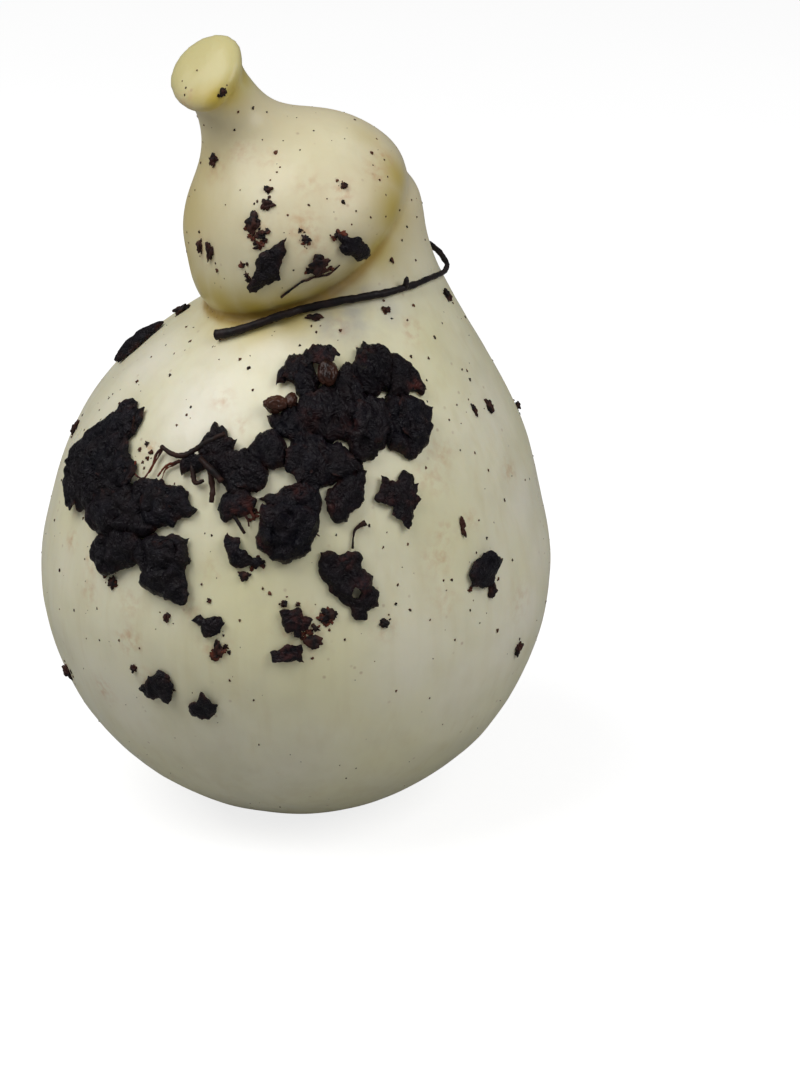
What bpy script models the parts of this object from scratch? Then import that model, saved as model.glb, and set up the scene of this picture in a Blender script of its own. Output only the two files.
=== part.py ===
"""A caciocavallo of the drunken kind: a pear of stretched curd with a tied head, a dark vine
twig laid round its neck, and grape skins from the pomace it ripened in stuck on its rind.

Millimetres are written as numbers and turned to metres by MM. The origin is the centre of the
flat foot, +Z is up and the front is -Y.
"""

import math
import random
from collections import namedtuple

import bmesh
import bpy
from mathutils import Matrix, Vector, geometry, noise
from mathutils.bvhtree import BVHTree

MM = 0.001

# Body: a round belly on a small flat foot, tapering to the tied neck.
BELLY_R = 75.5
FOOT_R = 17.0
BELLY_Z = math.sqrt(BELLY_R**2 - FOOT_R**2)
BELLY_CAGE_R = BELLY_R * 1.038
HEAD_R = 34.0
HEAD_AXIS = (1.0, -3.0)

# One ring of a cage: centre, radius, how far its plane leans to the left and to the front,
# and for one that isn't round the turn of its first corner and each corner's share of the radius.
Ring = namedtuple("Ring", "x y z radius left front turn shape", defaults=(0.0, 0.0, 0.0, ()))
CAP_SHAPE = (0.94, 0.92, 0.91, 1.04, 0.82, 0.85, 1.09, 1.03)

# Rings above the belly, up to the neck's end inside the head.
SHOULDER_RINGS = (
    Ring(0.5, 0.0, BELLY_Z + 22.0, 72.8),
    Ring(1.1, 0.0, BELLY_Z + 46.0, 66.2),
    Ring(3.8, 0.0, BELLY_Z + 66.0, 52.3),
    Ring(11.0, 0.0, BELLY_Z + 82.0, 36.0),
    Ring(13.5, 1.0, BELLY_Z + 91.0, 27.3, 4, 2),
    Ring(13.8, 2.0, BELLY_Z + 100.0, 24.8, 12, 4),
    Ring(14.7, 2.0, BELLY_Z + 108.0, 24.7, 22, 6),
    Ring(10.0, 0.0, BELLY_Z + 117.0, 15.0, 27, 6),
)
# The head hangs over the shoulder on the left; its stem ends in a flared cap.
HEAD_RINGS = (
    Ring(11.0, -0.5, BELLY_Z + 86.0, 9.0, 27, 6),
    Ring(3.6, -1.5, BELLY_Z + 93.1, 29.4, 27, 6),
    Ring(3.2, -2.4, BELLY_Z + 103.1, 35.7, 27, 6),
    Ring(0.5, -3.4, BELLY_Z + 111.6, 34.5, 27, 6),
    Ring(-3.6, -4.2, BELLY_Z + 118.5, 31.4, 27, 6),
    Ring(-7.3, -5.0, BELLY_Z + 125.6, 25.1, 27, 6),
    Ring(-11.2, -5.8, BELLY_Z + 131.3, 15.8, 27, 6),
    Ring(-15.4, -6.5, BELLY_Z + 137.0, 10.4, 27, 6),
    Ring(-18.7, -10.5, BELLY_Z + 145.5, 8.6, 29, 22),
    Ring(-21.0, -14.0, BELLY_Z + 149.4, 9.8, 30, 38, 30, CAP_SHAPE),
    Ring(-21.8, -15.3, BELLY_Z + 151.0, 12.4, 30, 38, 30, CAP_SHAPE),
    Ring(-23.0, -17.2, BELLY_Z + 152.9, 11.6, 30, 38, 30, CAP_SHAPE),
    Ring(-23.4, -17.9, BELLY_Z + 153.5, 5.6, 30, 38, 30, CAP_SHAPE),
)
BODY_SEGMENTS = 12
HEAD_SEGMENTS = 8
SMOOTHING = 2

# The twig: degrees round the neck, height, clearance from the rind, and its own radius.
GAP = 0.35
TWIG = (
    (-36.6, 151.9, 0.4, 1.76),
    (-28.2, 153.5, 0.4, 1.56),
    (-19.3, 155.3, 0.4, 1.48),
    (-11.0, 157.1, 0.5, 1.44),
    (-1.0, 158.5, 1.6, 1.44),
    (9.8, 160.8, 0.5, 1.4),
    (21.0, 162.2, 0.4, 1.4),
    (31.0, 163.3, 0.4, 1.36),
    (40.7, 164.0, 0.4, 1.32),
    (48.7, 164.4, 0.4, 1.28),
    (56.7, 164.8, 0.4, 1.2),
    (64.0, 165.0, 0.4, 1.12),
    (72.0, 165.1, 0.4, 1.04),
    (81.0, 164.4, 0.5, 0.96),
    (90.0, 163.4, 0.8, 0.92),
    (96.0, 163.6, 1.5, 0.96),
    (100.0, 165.4, 1.4, 1.04),
    (105.0, 166.8, 0.9, 1.12),
    (115.0, 167.2, 0.5, 1.2),
    (128.0, 166.4, 0.7, 1.28),
    (141.0, 165.0, 0.9, 1.44),
)
BUD_AT = 10
BUD_LENGTH = 3.4

# A grape skin: its outline as degrees round the cheese and height, then how thick it is,
# how much it domes, how far it waves off the rind, and its clearance at the edge.
Skin = namedtuple("Skin", "outline thick dome wave lift", defaults=(1.6, 2.0, 0.0, GAP))
GRAIN_SPACING = 3.9
FLAKE_SPACING = 3.0

LEFT_HEAP = (
    Skin(((-57, 113), (-52, 117.5), (-41.5, 116.5), (-35.5, 114), (-31, 107), (-34, 104), (-41, 101.5),
          (-47, 100.5), (-50, 101), (-54, 104.5), (-56.5, 108)), 1.6, 3.4),
    Skin(((-55.5, 134.5), (-48.5, 134), (-47.5, 132), (-47.5, 127.5), (-49.5, 124.5), (-54.5, 121),
          (-62.5, 118.5), (-70, 117.5), (-68, 121), (-64, 125.5), (-59, 129.5), (-57.5, 133)), 1.4, 2.0, 0, 0.6),
    Skin(((-71, 116.5), (-64.5, 122), (-56, 125.5), (-47, 125), (-42.5, 122), (-41, 118.5), (-42.5, 114.5),
          (-47.5, 110), (-54, 107), (-57.5, 103.5), (-60, 105), (-62.5, 103), (-66.5, 107), (-68.5, 113)),
         1.5, 2.6, 0, 0.85),
    Skin(((-41, 117), (-34.5, 119.5), (-30, 118.5), (-24.5, 118), (-24, 116), (-21.5, 114), (-26, 110.5),
          (-26.5, 108.5), (-30.5, 107.5), (-36, 108.5), (-41.5, 111.5)), 1.4, 2.2, 0, 0.6),
    Skin(((-47.5, 100.5), (-48.5, 96.5), (-48, 93.5), (-45.5, 91.5), (-41, 92), (-37, 95), (-35, 97.5),
          (-34, 101), (-36, 105), (-41.5, 105)), 1.6, 3.0, 0, 0.85),
    Skin(((-31, 106), (-26.5, 107), (-22.5, 106.5), (-22.5, 103), (-21.5, 100.5), (-22.5, 99), (-21.5, 94.5),
          (-21.5, 89), (-23, 88.5), (-27.5, 89.5), (-31.5, 90.5), (-33.5, 92), (-33, 95), (-36, 97.5),
          (-36, 101.5), (-33.5, 104.5)), 1.6, 3.0, 0, 0.6),
)
RIGHT_HEAP = (
    Skin(((1.5, 133), (9, 134), (12, 131), (14.5, 131.5), (17.5, 128.5), (19.5, 126), (19.5, 123), (15, 122),
          (11.5, 121.5), (8, 120.5), (8.5, 117.5), (7.5, 114), (3, 113.5), (-1, 115), (-4.5, 116.5),
          (-7.5, 118.5), (-2.5, 119.5), (-0.5, 121.5), (2.5, 120.5), (2.5, 123), (-0.5, 126), (-1, 128.5),
          (1, 129.5)), 1.5, 2.2),
    Skin(((4.1, 141.6), (10.2, 143.8), (14.6, 144.6), (16.5, 146.6), (19.3, 148.5), (22.6, 148.9),
          (23.5, 146.1), (24.5, 142), (28.5, 140), (29.5, 136.5), (27.5, 132), (26.5, 129), (22.5, 126.5),
          (19, 125.5), (17, 128), (16.5, 131.5), (13.5, 132), (11, 131), (8.5, 133), (3.5, 133), (1, 136.5)),
         1.6, 3.0, 0, 0.6),
    Skin(((13.5, 153.5), (17, 152), (15, 151), (10, 150), (9.5, 148.5), (11.5, 146), (10, 142.5), (6, 140.5),
          (3, 142.5), (2.5, 144.5), (0, 145.5), (-3.5, 144), (-3, 147.5), (-0.5, 149.5), (4, 151), (8, 152.5)),
         1.4, 1.8, 0, 0.85),
    Skin(((29.5, 154), (33, 152.5), (35.5, 151.5), (36.5, 149), (33.5, 145), (32, 142), (28, 141), (23.5, 141.5),
          (21.5, 144), (20.5, 146.5), (24, 149.5), (26, 152.5)), 1.6, 4.4, 0, 0.85),
    Skin(((36, 150.5), (41, 149), (43.5, 146), (44.5, 142.5), (45, 140.5), (42.5, 139.5), (39, 141), (35, 140),
          (31, 141), (32.5, 146)), 1.4, 2.2, 0, 0.6),
    Skin(((31.5, 141.5), (38, 140.5), (41, 138.5), (43.5, 136), (41.5, 132.5), (41.5, 131), (38.5, 127.5),
          (35.5, 126), (32.5, 125), (31, 126), (28, 128), (26, 130.5), (26, 135), (27, 139)), 1.6, 3.4, 0, 0.35),
    Skin(((-6, 137.5), (-1, 139), (4.5, 141), (7.5, 137), (6, 132), (1, 132), (-2.5, 133.5), (-4.5, 135)),
         1.4, 2.2, 0, 0.85),
    Skin(((-8.5, 132.5), (-6, 134), (-2.5, 134), (0, 131.5), (0, 129), (-0.5, 126), (-3, 125), (-6, 126),
          (-9, 127.5), (-10.5, 129.5)), 1.6, 3.2, 0, 0.6),
    Skin(((12, 121.5), (16, 124), (20, 124), (18.5, 117), (15.5, 114.5), (14, 112), (11, 112), (9.5, 115),
          (9, 118), (10, 120.5)), 1.4, 2.4, 0, 0.85),
    Skin(((-5.5, 117), (-0.5, 118), (4, 117), (7.5, 115), (7.5, 111), (6, 107.5), (5.5, 105), (3, 103),
          (0, 101.5), (-3, 102.5), (-5, 104.5), (-6.5, 105.5), (-7, 108.5), (-6, 112.5)), 1.6, 4.4, 0, 0.85),
    Skin(((-21.5, 135), (-18, 134), (-13.5, 131.5), (-14, 129), (-16.5, 127), (-19.5, 126), (-22.5, 126.5),
          (-24.5, 128.5), (-23.5, 131.5), (-22, 132.5)), 1.4, 1.8, 0, 0.85),
    Skin(((-27.5, 125.5), (-23, 127.5), (-17.5, 129), (-12.5, 129), (-6, 128.5), (-4.5, 125), (-5.5, 120.5),
          (-9, 119.5), (-11.5, 118), (-14, 119), (-17, 121.5), (-21.5, 124), (-25.5, 122.5), (-27.5, 121.5),
          (-28.5, 124)), 1.6, 2.6),
    Skin(((-13.5, 120.5), (-9.5, 120.5), (-7, 118), (-8.5, 114.5), (-11, 113), (-14, 111.5), (-16.5, 114.5),
          (-16, 116.5)), 1.4, 2.2, 0, 0.6),
)
# Grape berries and seeds in the right heap: degrees, height, half sizes across, up and out.
BERRIES = (
    (13.5, 146.5, 2.7, 3.8, 2.4),
    (-3.0, 139.5, 3.4, 2.5, 2.2),
    (1.5, 140.5, 1.9, 2.2, 1.9),
)
# Bare stems curling out of the heaps: degrees, height and radius along each.
STEMS = (
    ((-20.0, 127.5, 1.1), (-26.0, 127.0, 1.0), (-30.5, 127.5, 0.9), (-33.5, 126.5, 0.8), (-35.0, 123.5, 0.7),
     (-36.0, 120.8, 0.6)),
    ((-24.0, 125.0, 0.8), (-28.5, 125.5, 0.7), (-32.0, 124.0, 0.7), (-33.5, 121.2, 0.6)),
    ((-22.5, 124.5, 0.9), (-22.0, 121.0, 0.9), (-19.5, 119.5, 0.7)),
    ((-18.0, 123.0, 1.1), (-17.5, 118.5, 1.1), (-17.5, 114.5, 1.0)),
    ((-13.5, 113.5, 0.8), (-11.5, 111.0, 0.8), (-9.5, 108.8, 0.7)),
)
# Single skins on the belly and shoulder.
FLAKES = {
    "skin_star": Skin(((23.5, 122.5), (25.5, 121), (27, 120.5), (30, 123), (32, 121.5), (32, 119), (33, 119),
                       (31.5, 116.5), (32.5, 115), (30.5, 112.5), (28, 108), (27, 110.5), (24.5, 112.5),
                       (25.5, 114.5), (23, 115.5), (21, 117), (22.5, 119)), 1.0, 1.0, 0.9),
    "skin_pair": Skin(((7.5, 104.5), (10.5, 104.5), (12, 103.5), (13.5, 104.5), (16, 104), (17, 102),
                       (16.5, 99.5), (19, 97), (18.5, 94.5), (20, 92.5), (19.5, 88.5), (17, 87.5), (17, 85.5),
                       (14.5, 85.5), (13.5, 89), (11, 92), (9, 94), (7.5, 97.5), (7, 102)), 1.2, 1.6, 0.5),
    "skin_right": Skin(((49.5, 96), (50.5, 94), (53.5, 92), (52, 90), (50, 87.5), (48.5, 86), (46, 86.5),
                        (42.5, 88), (43, 89.5), (42.5, 92), (43.5, 93.5), (45.5, 95), (47.5, 96)), 1.2, 1.4, 0.6),
    "skin_hook": Skin(((-13.5, 109), (-12, 108), (-10.5, 108), (-10.5, 105.5), (-9, 105), (-7.5, 103),
                       (-5.5, 103), (-5, 101.5), (-6.5, 100), (-7.5, 101), (-10, 100), (-12, 100.5),
                       (-13, 102.5), (-13.5, 105), (-14, 107.5)), 1.1, 1.2, 0.4),
    "skin_low": Skin(((-1.5, 89), (1.5, 89.5), (2.5, 90), (3.5, 87.5), (5.5, 86.5), (4.5, 84), (3, 83.5),
                      (3, 81.5), (1.5, 82), (1.5, 83.5), (0, 83), (-0.5, 84.5), (-1, 86.5)), 1.0, 1.0, 0.4),
    "skin_square": Skin(((-3.5, 77.5), (-2, 78), (0, 80), (3, 80), (3.5, 74.5), (0, 75), (-3, 75)), 1.0, 0.4, 0.4),
    "skin_small": Skin(((-20.5, 84.5), (-18.5, 86.5), (-17.5, 85.5), (-15.5, 86.5), (-14, 86.5), (-13, 85),
                        (-14, 82), (-15.5, 81), (-17.5, 80.5), (-18, 83.5), (-19.5, 84)), 1.0, 1.0, 0.4),
    "skin_left_low": Skin(((-31, 65.5), (-28.5, 68), (-26, 67), (-25, 64), (-25.5, 60.5), (-26.5, 58),
                           (-28.5, 59), (-32, 58.5), (-34, 60.5), (-32, 62.5)), 1.2, 1.2, 0.5),
    "skin_under": Skin(((-18.5, 64), (-16.5, 61), (-15, 60), (-16, 56.5), (-19, 54.5), (-21.5, 55.5),
                        (-22, 58), (-20, 60)), 1.0, 1.0, 0.5),
    "skin_shoulder": Skin(((-99, 145.5), (-93, 146.5), (-90, 143), (-89, 139), (-90, 135.5), (-94, 134.5),
                           (-98, 138), (-100, 142)), 1.2, 1.8, 0.3),
    "skin_back_high": Skin(((150, 146), (158, 147), (163, 142), (160, 137), (153, 136), (148, 140)), 1.2, 1.6, 0.6),
    "skin_back_low": Skin(((208, 84), (215, 86), (219, 81), (216, 75), (209, 74), (205, 79)), 1.2, 1.4, 0.5),
    "skin_back_right": Skin(((112, 101), (118, 103), (122, 98), (119, 91), (113, 92), (110, 96)), 1.1, 1.2, 0.5),
}
HEAD_FLAKES = {
    "skin_leaf": Skin(((-1.5, 184.5), (-1.5, 181), (-3.5, 177.5), (-4.5, 173), (-8, 172), (-14, 170),
                       (-19.5, 168.5), (-20.5, 170), (-17, 174), (-16, 177.5), (-13.5, 180), (-8.5, 181.5),
                       (-5, 183)), 1.0, 1.2, 0.6),
    "skin_cheek": Skin(((21.5, 185), (27, 184), (31, 184), (35.5, 181.5), (40, 178), (38.5, 176.5),
                        (32.5, 176.5), (26, 179), (22, 181.5), (23.5, 182.5)), 1.1, 1.4, 0.4),
}
# The heap on the far side is made of skins like those of the right heap, turned and lowered.
BACK_TURN = 172.0
BACK_DROP = -14.0
BACK_HEAP = (1, 3, 4, 5, 9)

# Crumbs of skin and seed on the belly: degrees, height, half sizes across, up and out.
CRUMBS = (
    (49.4, 84.9, 1.4, 2.0, 1.1),
    (5.6, 80.1, 2.1, 1.6, 0.9),
    (-14.5, 77.0, 1.1, 2.2, 0.8),
    (13.0, 159.4, 1.8, 0.9, 0.9),
    (-9.3, 98.0, 1.6, 1.2, 0.8),
    (8.7, 87.4, 2.1, 1.6, 0.9),
    (60.5, 131.7, 0.8, 1.6, 0.7),
    (68.5, 130.3, 1.3, 2.0, 0.8),
    (43.3, 104.9, 0.7, 2.2, 0.8),
    (20.8, 83.5, 1.4, 1.2, 0.8),
    (-41.8, 89.4, 1.4, 1.5, 0.8),
    (-26.4, 84.0, 0.9, 1.3, 0.7),
    (-35.2, 65.9, 0.9, 1.0, 0.8),
    (-67.1, 49.4, 1.4, 2.0, 1.0),
    (-98.2, 150.2, 1.6, 2.4, 1.4),
    (-84.0, 118.0, 0.9, 2.0, 0.9),
    (45.3, 160.5, 1.0, 0.8, 0.8),
    (81.5, 158.6, 1.0, 1.8, 0.8),
    (59.8, 61.4, 1.2, 1.8, 0.9),
    (-0.6, 90.9, 0.9, 0.9, 0.8),
    (96.0, 120.0, 1.4, 1.1, 0.9),
    (104.0, 70.0, 1.0, 1.6, 0.9),
    (128.0, 112.0, 1.6, 1.2, 0.9),
    (135.0, 84.0, 1.1, 1.1, 0.8),
    (152.0, 118.0, 1.2, 1.8, 0.9),
    (158.0, 70.0, 1.5, 1.1, 0.9),
    (174.0, 58.0, 1.0, 1.4, 0.8),
    (186.0, 152.0, 1.3, 1.0, 0.9),
    (228.0, 118.0, 1.2, 1.6, 0.9),
    (236.0, 68.0, 1.6, 1.2, 0.9),
    (244.0, 134.0, 1.0, 1.5, 0.8),
    (252.0, 96.0, 1.3, 1.3, 0.9),
)
HEAD_CRUMBS = (
    (-18.7, 187.6, 1.9, 2.3, 1.0),
    (-14.3, 184.6, 1.3, 1.0, 0.8),
    (-12.2, 192.5, 1.6, 1.6, 1.0),
    (12.8, 176.6, 2.7, 2.7, 1.1),
    (7.3, 184.1, 1.1, 1.0, 0.8),
    (-44.7, 177.2, 1.1, 2.8, 0.8),
    (-53.4, 177.5, 1.1, 1.5, 0.8),
    (-58.1, 201.0, 1.3, 1.4, 0.9),
    (-12.9, 196.3, 1.1, 0.8, 0.7),
    (29.6, 196.9, 0.8, 0.8, 0.7),
    (-40.6, 222.1, 1.0, 1.1, 0.8),
    (150.0, 190.0, 1.6, 1.2, 0.9),
    (205.0, 182.0, 1.3, 1.7, 0.9),
)
CRUMB_SINK = 0.35


def clear_scene():
    for old in list(bpy.data.objects):
        bpy.data.objects.remove(old, do_unlink=True)


def new_material(name, colour, roughness):
    material = bpy.data.materials.new(name)
    material.use_nodes = True
    shader = material.node_tree.nodes["Principled BSDF"]
    shader.inputs["Base Color"].default_value = (*colour, 1.0)
    shader.inputs["Roughness"].default_value = roughness
    shader.inputs["Metallic"].default_value = 0.0
    return material


def put(name, mesh, collection):
    obj = bpy.data.objects.new(name, mesh)
    collection.objects.link(obj)
    return obj


def shaped_mesh(obj):
    """The mesh of an object with its modifiers in it."""
    graph = bpy.context.evaluated_depsgraph_get()
    return bpy.data.meshes.new_from_object(obj.evaluated_get(graph))


def belly_rings():
    """Rings of the belly's round underside, from below the foot up to the widest one."""
    rings = []
    for angle in (-76, -50, -25, 0):
        turn = math.radians(angle)
        height = BELLY_Z + BELLY_CAGE_R * math.sin(turn)
        rings.append(Ring(0.0, 0.0, height, BELLY_CAGE_R * math.cos(turn)))
    return rings


def cage(name, rings, segments, collection):
    """A closed cage through the rings, rounded by Subdivision Surface."""
    grown = 3 / (2 + math.cos(2 * math.pi / segments))
    bm = bmesh.new()
    loops = []
    for ring in rings:
        place = Matrix.Translation(Vector((ring.x, ring.y, ring.z)) * MM)
        left = Matrix.Rotation(math.radians(-ring.left), 4, "Y")
        front = Matrix.Rotation(math.radians(ring.front), 4, "X")
        turn = Matrix.Rotation(math.radians(ring.turn), 4, "Z")
        made = bmesh.ops.create_circle(
            bm, segments=segments, radius=ring.radius * MM * grown, matrix=place @ left @ front @ turn
        )
        for vert, share in zip(made["verts"], ring.shape):
            vert.co = place.translation.lerp(vert.co, share)
        loops.append({edge for vert in made["verts"] for edge in vert.link_edges})
    for lower, upper in zip(loops, loops[1:]):
        bmesh.ops.bridge_loops(bm, edges=list(lower | upper))
    bmesh.ops.holes_fill(bm, edges=list(loops[0] | loops[-1]), sides=segments)
    bmesh.ops.recalc_face_normals(bm, faces=bm.faces)
    mesh = bpy.data.meshes.new(name)
    bm.to_mesh(mesh)
    bm.free()
    obj = put(name, mesh, collection)
    rounding = obj.modifiers.new("Rounding", "SUBSURF")
    rounding.levels = rounding.render_levels = SMOOTHING
    obj.data = shaped_mesh(obj)
    obj.modifiers.clear()
    return obj


def fuse(name, pieces, collection):
    """One solid of several overlapping ones, without loose scraps."""
    heap = bpy.data.collections.new(name + "_pieces")
    bpy.context.scene.collection.children.link(heap)
    first = put(name, pieces[0].data.copy(), collection)
    for piece in pieces[1:]:
        heap.objects.link(piece)
    union = first.modifiers.new("Union", "BOOLEAN")
    union.operation = "UNION"
    union.solver = "EXACT"
    union.operand_type = "COLLECTION"
    union.collection = heap
    bpy.context.view_layer.update()
    first.data = shaped_mesh(first)
    first.modifiers.clear()
    for piece in pieces:
        bpy.data.objects.remove(piece, do_unlink=True)
    bpy.data.collections.remove(heap)
    first.name = name
    keep_largest_shell(first.data)
    return first


def keep_largest_shell(mesh):
    bm = bmesh.new()
    bm.from_mesh(mesh)
    shells = []
    left = set(bm.faces)
    while left:
        shell = set()
        front = [left.pop()]
        while front:
            face = front.pop()
            shell.add(face)
            for edge in face.edges:
                for other in edge.link_faces:
                    if other in left:
                        left.remove(other)
                        front.append(other)
        shells.append(shell)
    shells.sort(key=len)
    for shell in shells[:-1]:
        bmesh.ops.delete(bm, geom=list(shell), context="FACES")
    bmesh.ops.triangulate(bm, faces=bm.faces)
    bmesh.ops.dissolve_degenerate(bm, edges=bm.edges, dist=0.00002)
    bmesh.ops.triangulate(bm, faces=bm.faces)
    bm.to_mesh(mesh)
    bm.free()


def surface(obj):
    """A tree to find points of the rind with."""
    bm = bmesh.new()
    bm.from_mesh(obj.data)
    tree = BVHTree.FromBMesh(bm)
    bm.free()
    return tree


def on_rind(tree, degrees, height, axis=(0.0, 0.0)):
    """The point and normal of the rind at an angle round an axis and a height."""
    turn = math.radians(degrees)
    outward = Vector((math.sin(turn), -math.cos(turn), 0.0))
    start = (Vector((axis[0], axis[1], height)) + outward * 150.0) * MM
    point, normal, _, _ = tree.ray_cast(start, -outward)
    return point, normal


def distance_to_outline(point, outline):
    near = 1000.0
    for index, start in enumerate(outline):
        end = outline[(index + 1) % len(outline)]
        along = end - start
        part = max(0.0, min(1.0, (point - start).dot(along) / along.length_squared))
        near = min(near, (start + along * part - point).length)
    return near


def inside(point, outline):
    crossings = 0
    for index, start in enumerate(outline):
        end = outline[(index + 1) % len(outline)]
        if (start.y > point.y) != (end.y > point.y):
            crossing = start.x + (point.y - start.y) * (end.x - start.x) / (end.y - start.y)
            crossings += crossing > point.x
    return crossings % 2 == 1


def ragged(corners, spacing, draw):
    """The outline with its long sides broken up and slightly torn."""
    outline = []
    for index, start in enumerate(corners):
        end = corners[(index + 1) % len(corners)]
        steps = max(1, round((end - start).length / spacing))
        across = (end - start).orthogonal().normalized()
        outline.append(start)
        for step in range(1, steps):
            outline.append(start.lerp(end, step / steps) + across * draw.uniform(-0.35, 0.35))
    return outline


def skin(name, form, tree, collection, spacing, axis=(0.0, 0.0), radius=BELLY_R):
    """A grape skin: a thin crumpled solid lying on the rind, both faces split alike."""
    draw = random.Random(name)
    per_degree = math.radians(1) * radius
    corners = [Vector((degrees * per_degree, height)) for degrees, height in form.outline]
    outline = ragged(corners, spacing, draw)
    points = list(outline)
    low = Vector((min(p.x for p in outline), min(p.y for p in outline)))
    high = Vector((max(p.x for p in outline), max(p.y for p in outline)))
    row = 0
    y = low.y
    while y < high.y:
        x = low.x + (row % 2) * spacing / 2
        while x < high.x:
            spot = Vector((x + draw.uniform(-0.4, 0.4), y + draw.uniform(-0.4, 0.4)))
            if inside(spot, outline) and distance_to_outline(spot, outline) > spacing * 0.45:
                points.append(spot)
            x += spacing
        y += spacing * 0.87
        row += 1
    count = len(outline)
    sides = [(index, (index + 1) % count) for index in range(count)]
    flat, _, faces, _, _, _ = geometry.delaunay_2d_cdt(points, sides, [tuple(range(count))], 1, 0.0001)
    seed = Vector((draw.uniform(0, 90), draw.uniform(0, 90), 0))
    bm = bmesh.new()
    under, over = [], []
    for spot in flat:
        edge = min(1.0, distance_to_outline(spot, outline) / 4.0)
        wrinkle = noise.noise(Vector((spot.x, spot.y, 0)) * 0.33 + seed)
        lift = form.lift + form.wave * (0.5 + 0.5 * noise.noise(Vector((spot.x, spot.y, 9)) * 0.25 + seed))
        height = form.thick + form.dome * (edge**0.6) * (0.75 + 0.7 * wrinkle)
        point, normal = on_rind(tree, spot.x / per_degree, spot.y, axis)
        under.append(bm.verts.new(point + normal * lift * MM))
        over.append(bm.verts.new(point + normal * (lift + max(0.7, height)) * MM))
    for face in faces:
        bm.faces.new([over[index] for index in face])
        bm.faces.new([under[index] for index in reversed(face)])
    rim = [edge for edge in bm.edges if edge.is_boundary]
    bmesh.ops.bridge_loops(bm, edges=rim)
    bmesh.ops.triangulate(bm, faces=bm.faces)
    bmesh.ops.recalc_face_normals(bm, faces=bm.faces)
    mesh = bpy.data.meshes.new(name)
    bm.to_mesh(mesh)
    bm.free()
    return put(name, mesh, collection)


def lump(name, spot, lift, tree, collection, axis=(0.0, 0.0), rings=1):
    """A small rounded piece: a berry, a seed or a crumb, lying on the rind."""
    degrees, height, across, up, out = spot
    point, normal = on_rind(tree, degrees, height, axis)
    side = Vector((0, 0, 1)).cross(normal).normalized()
    frame = Matrix((side, normal.cross(side), normal)).transposed().to_4x4()
    place = Matrix.Translation(point + normal * lift * MM) @ frame
    size = Matrix.Diagonal((across * MM, up * MM, out * MM, 1.0))
    bm = bmesh.new()
    bmesh.ops.create_icosphere(bm, subdivisions=rings, radius=1.0, matrix=place @ size)
    mesh = bpy.data.meshes.new(name)
    bm.to_mesh(mesh)
    bm.free()
    return put(name, mesh, collection)


def stick(name, spots, collection, bevel):
    """A round tapering stick through points given with their own radius."""
    curve = bpy.data.curves.new(name, "CURVE")
    curve.dimensions = "3D"
    curve.bevel_depth = MM
    curve.bevel_resolution = bevel
    curve.use_fill_caps = True
    curve.resolution_u = 1
    spline = curve.splines.new("BEZIER")
    spline.bezier_points.add(len(spots) - 1)
    for knot, (point, radius) in zip(spline.bezier_points, spots):
        knot.co = point
        knot.radius = radius
        knot.handle_left_type = knot.handle_right_type = "AUTO"
    made = put(name + "_curve", curve, collection)
    bpy.context.view_layer.update()
    mesh = shaped_mesh(made)
    bpy.data.objects.remove(made, do_unlink=True)
    bm = bmesh.new()
    bm.from_mesh(mesh)
    bmesh.ops.remove_doubles(bm, verts=bm.verts, dist=0.00001)
    bmesh.ops.recalc_face_normals(bm, faces=bm.faces)
    bm.to_mesh(mesh)
    bm.free()
    return put(name, mesh, collection)


def make_cheese(collection):
    """Body, head and stem as one pear of curd, before the crumbs."""
    body = cage("body", belly_rings() + list(SHOULDER_RINGS), BODY_SEGMENTS, collection)
    head = cage("head", HEAD_RINGS, HEAD_SEGMENTS, collection)
    return fuse("cheese", [body, head], collection)


def cut_foot(cheese):
    """Flatten the underside to the foot it rests on."""
    bm = bmesh.new()
    bm.from_mesh(cheese.data)
    geom = list(bm.verts) + list(bm.edges) + list(bm.faces)
    cut = bmesh.ops.bisect_plane(
        bm, geom=geom, plane_co=(0, 0, 0), plane_no=(0, 0, -1), clear_outer=True
    )
    rim = [item for item in cut["geom_cut"] if isinstance(item, bmesh.types.BMEdge)]
    bmesh.ops.holes_fill(bm, edges=rim)
    bmesh.ops.recalc_face_normals(bm, faces=bm.faces)
    bm.to_mesh(cheese.data)
    bm.free()


def add_crumbs(cheese, tree, collection):
    """The small crumbs that stick to the rind, fused to it."""
    pieces = [cheese]
    for index, spot in enumerate(CRUMBS):
        pieces.append(lump(f"crumb_{index}", spot, spot[4] * CRUMB_SINK, tree, collection))
    for index, spot in enumerate(HEAD_CRUMBS):
        pieces.append(lump(f"head_crumb_{index}", spot, spot[4] * CRUMB_SINK, tree, collection, HEAD_AXIS))
    return fuse("cheese", pieces, collection)


def make_twig(tree, collection):
    """The vine twig round the neck, with one bud on it."""
    spots = []
    outs = []
    for degrees, height, clear, radius in TWIG:
        point, normal = on_rind(tree, degrees, height)
        spots.append((point + normal * (clear + radius) * MM, radius))
        outs.append(normal)
    twig = stick("twig", spots, collection, 2)
    root, radius = spots[BUD_AT]
    rise = (Vector((0, 0, 1)) + outs[BUD_AT] * 0.5).normalized()
    bud = stick("bud", [(root, radius * 0.9), (root + rise * BUD_LENGTH * MM, 0.5)], collection, 1)
    return fuse("neck_twig", [twig, bud], collection)


def make_heap(name, skins, tree, collection, extras=()):
    """A heap of overlapping skins as one solid."""
    pieces = []
    for index, form in enumerate(skins):
        pieces.append(skin(f"{name}_{index}", form, tree, collection, GRAIN_SPACING))
    pieces.extend(extras)
    return fuse(name, pieces, collection)


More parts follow.
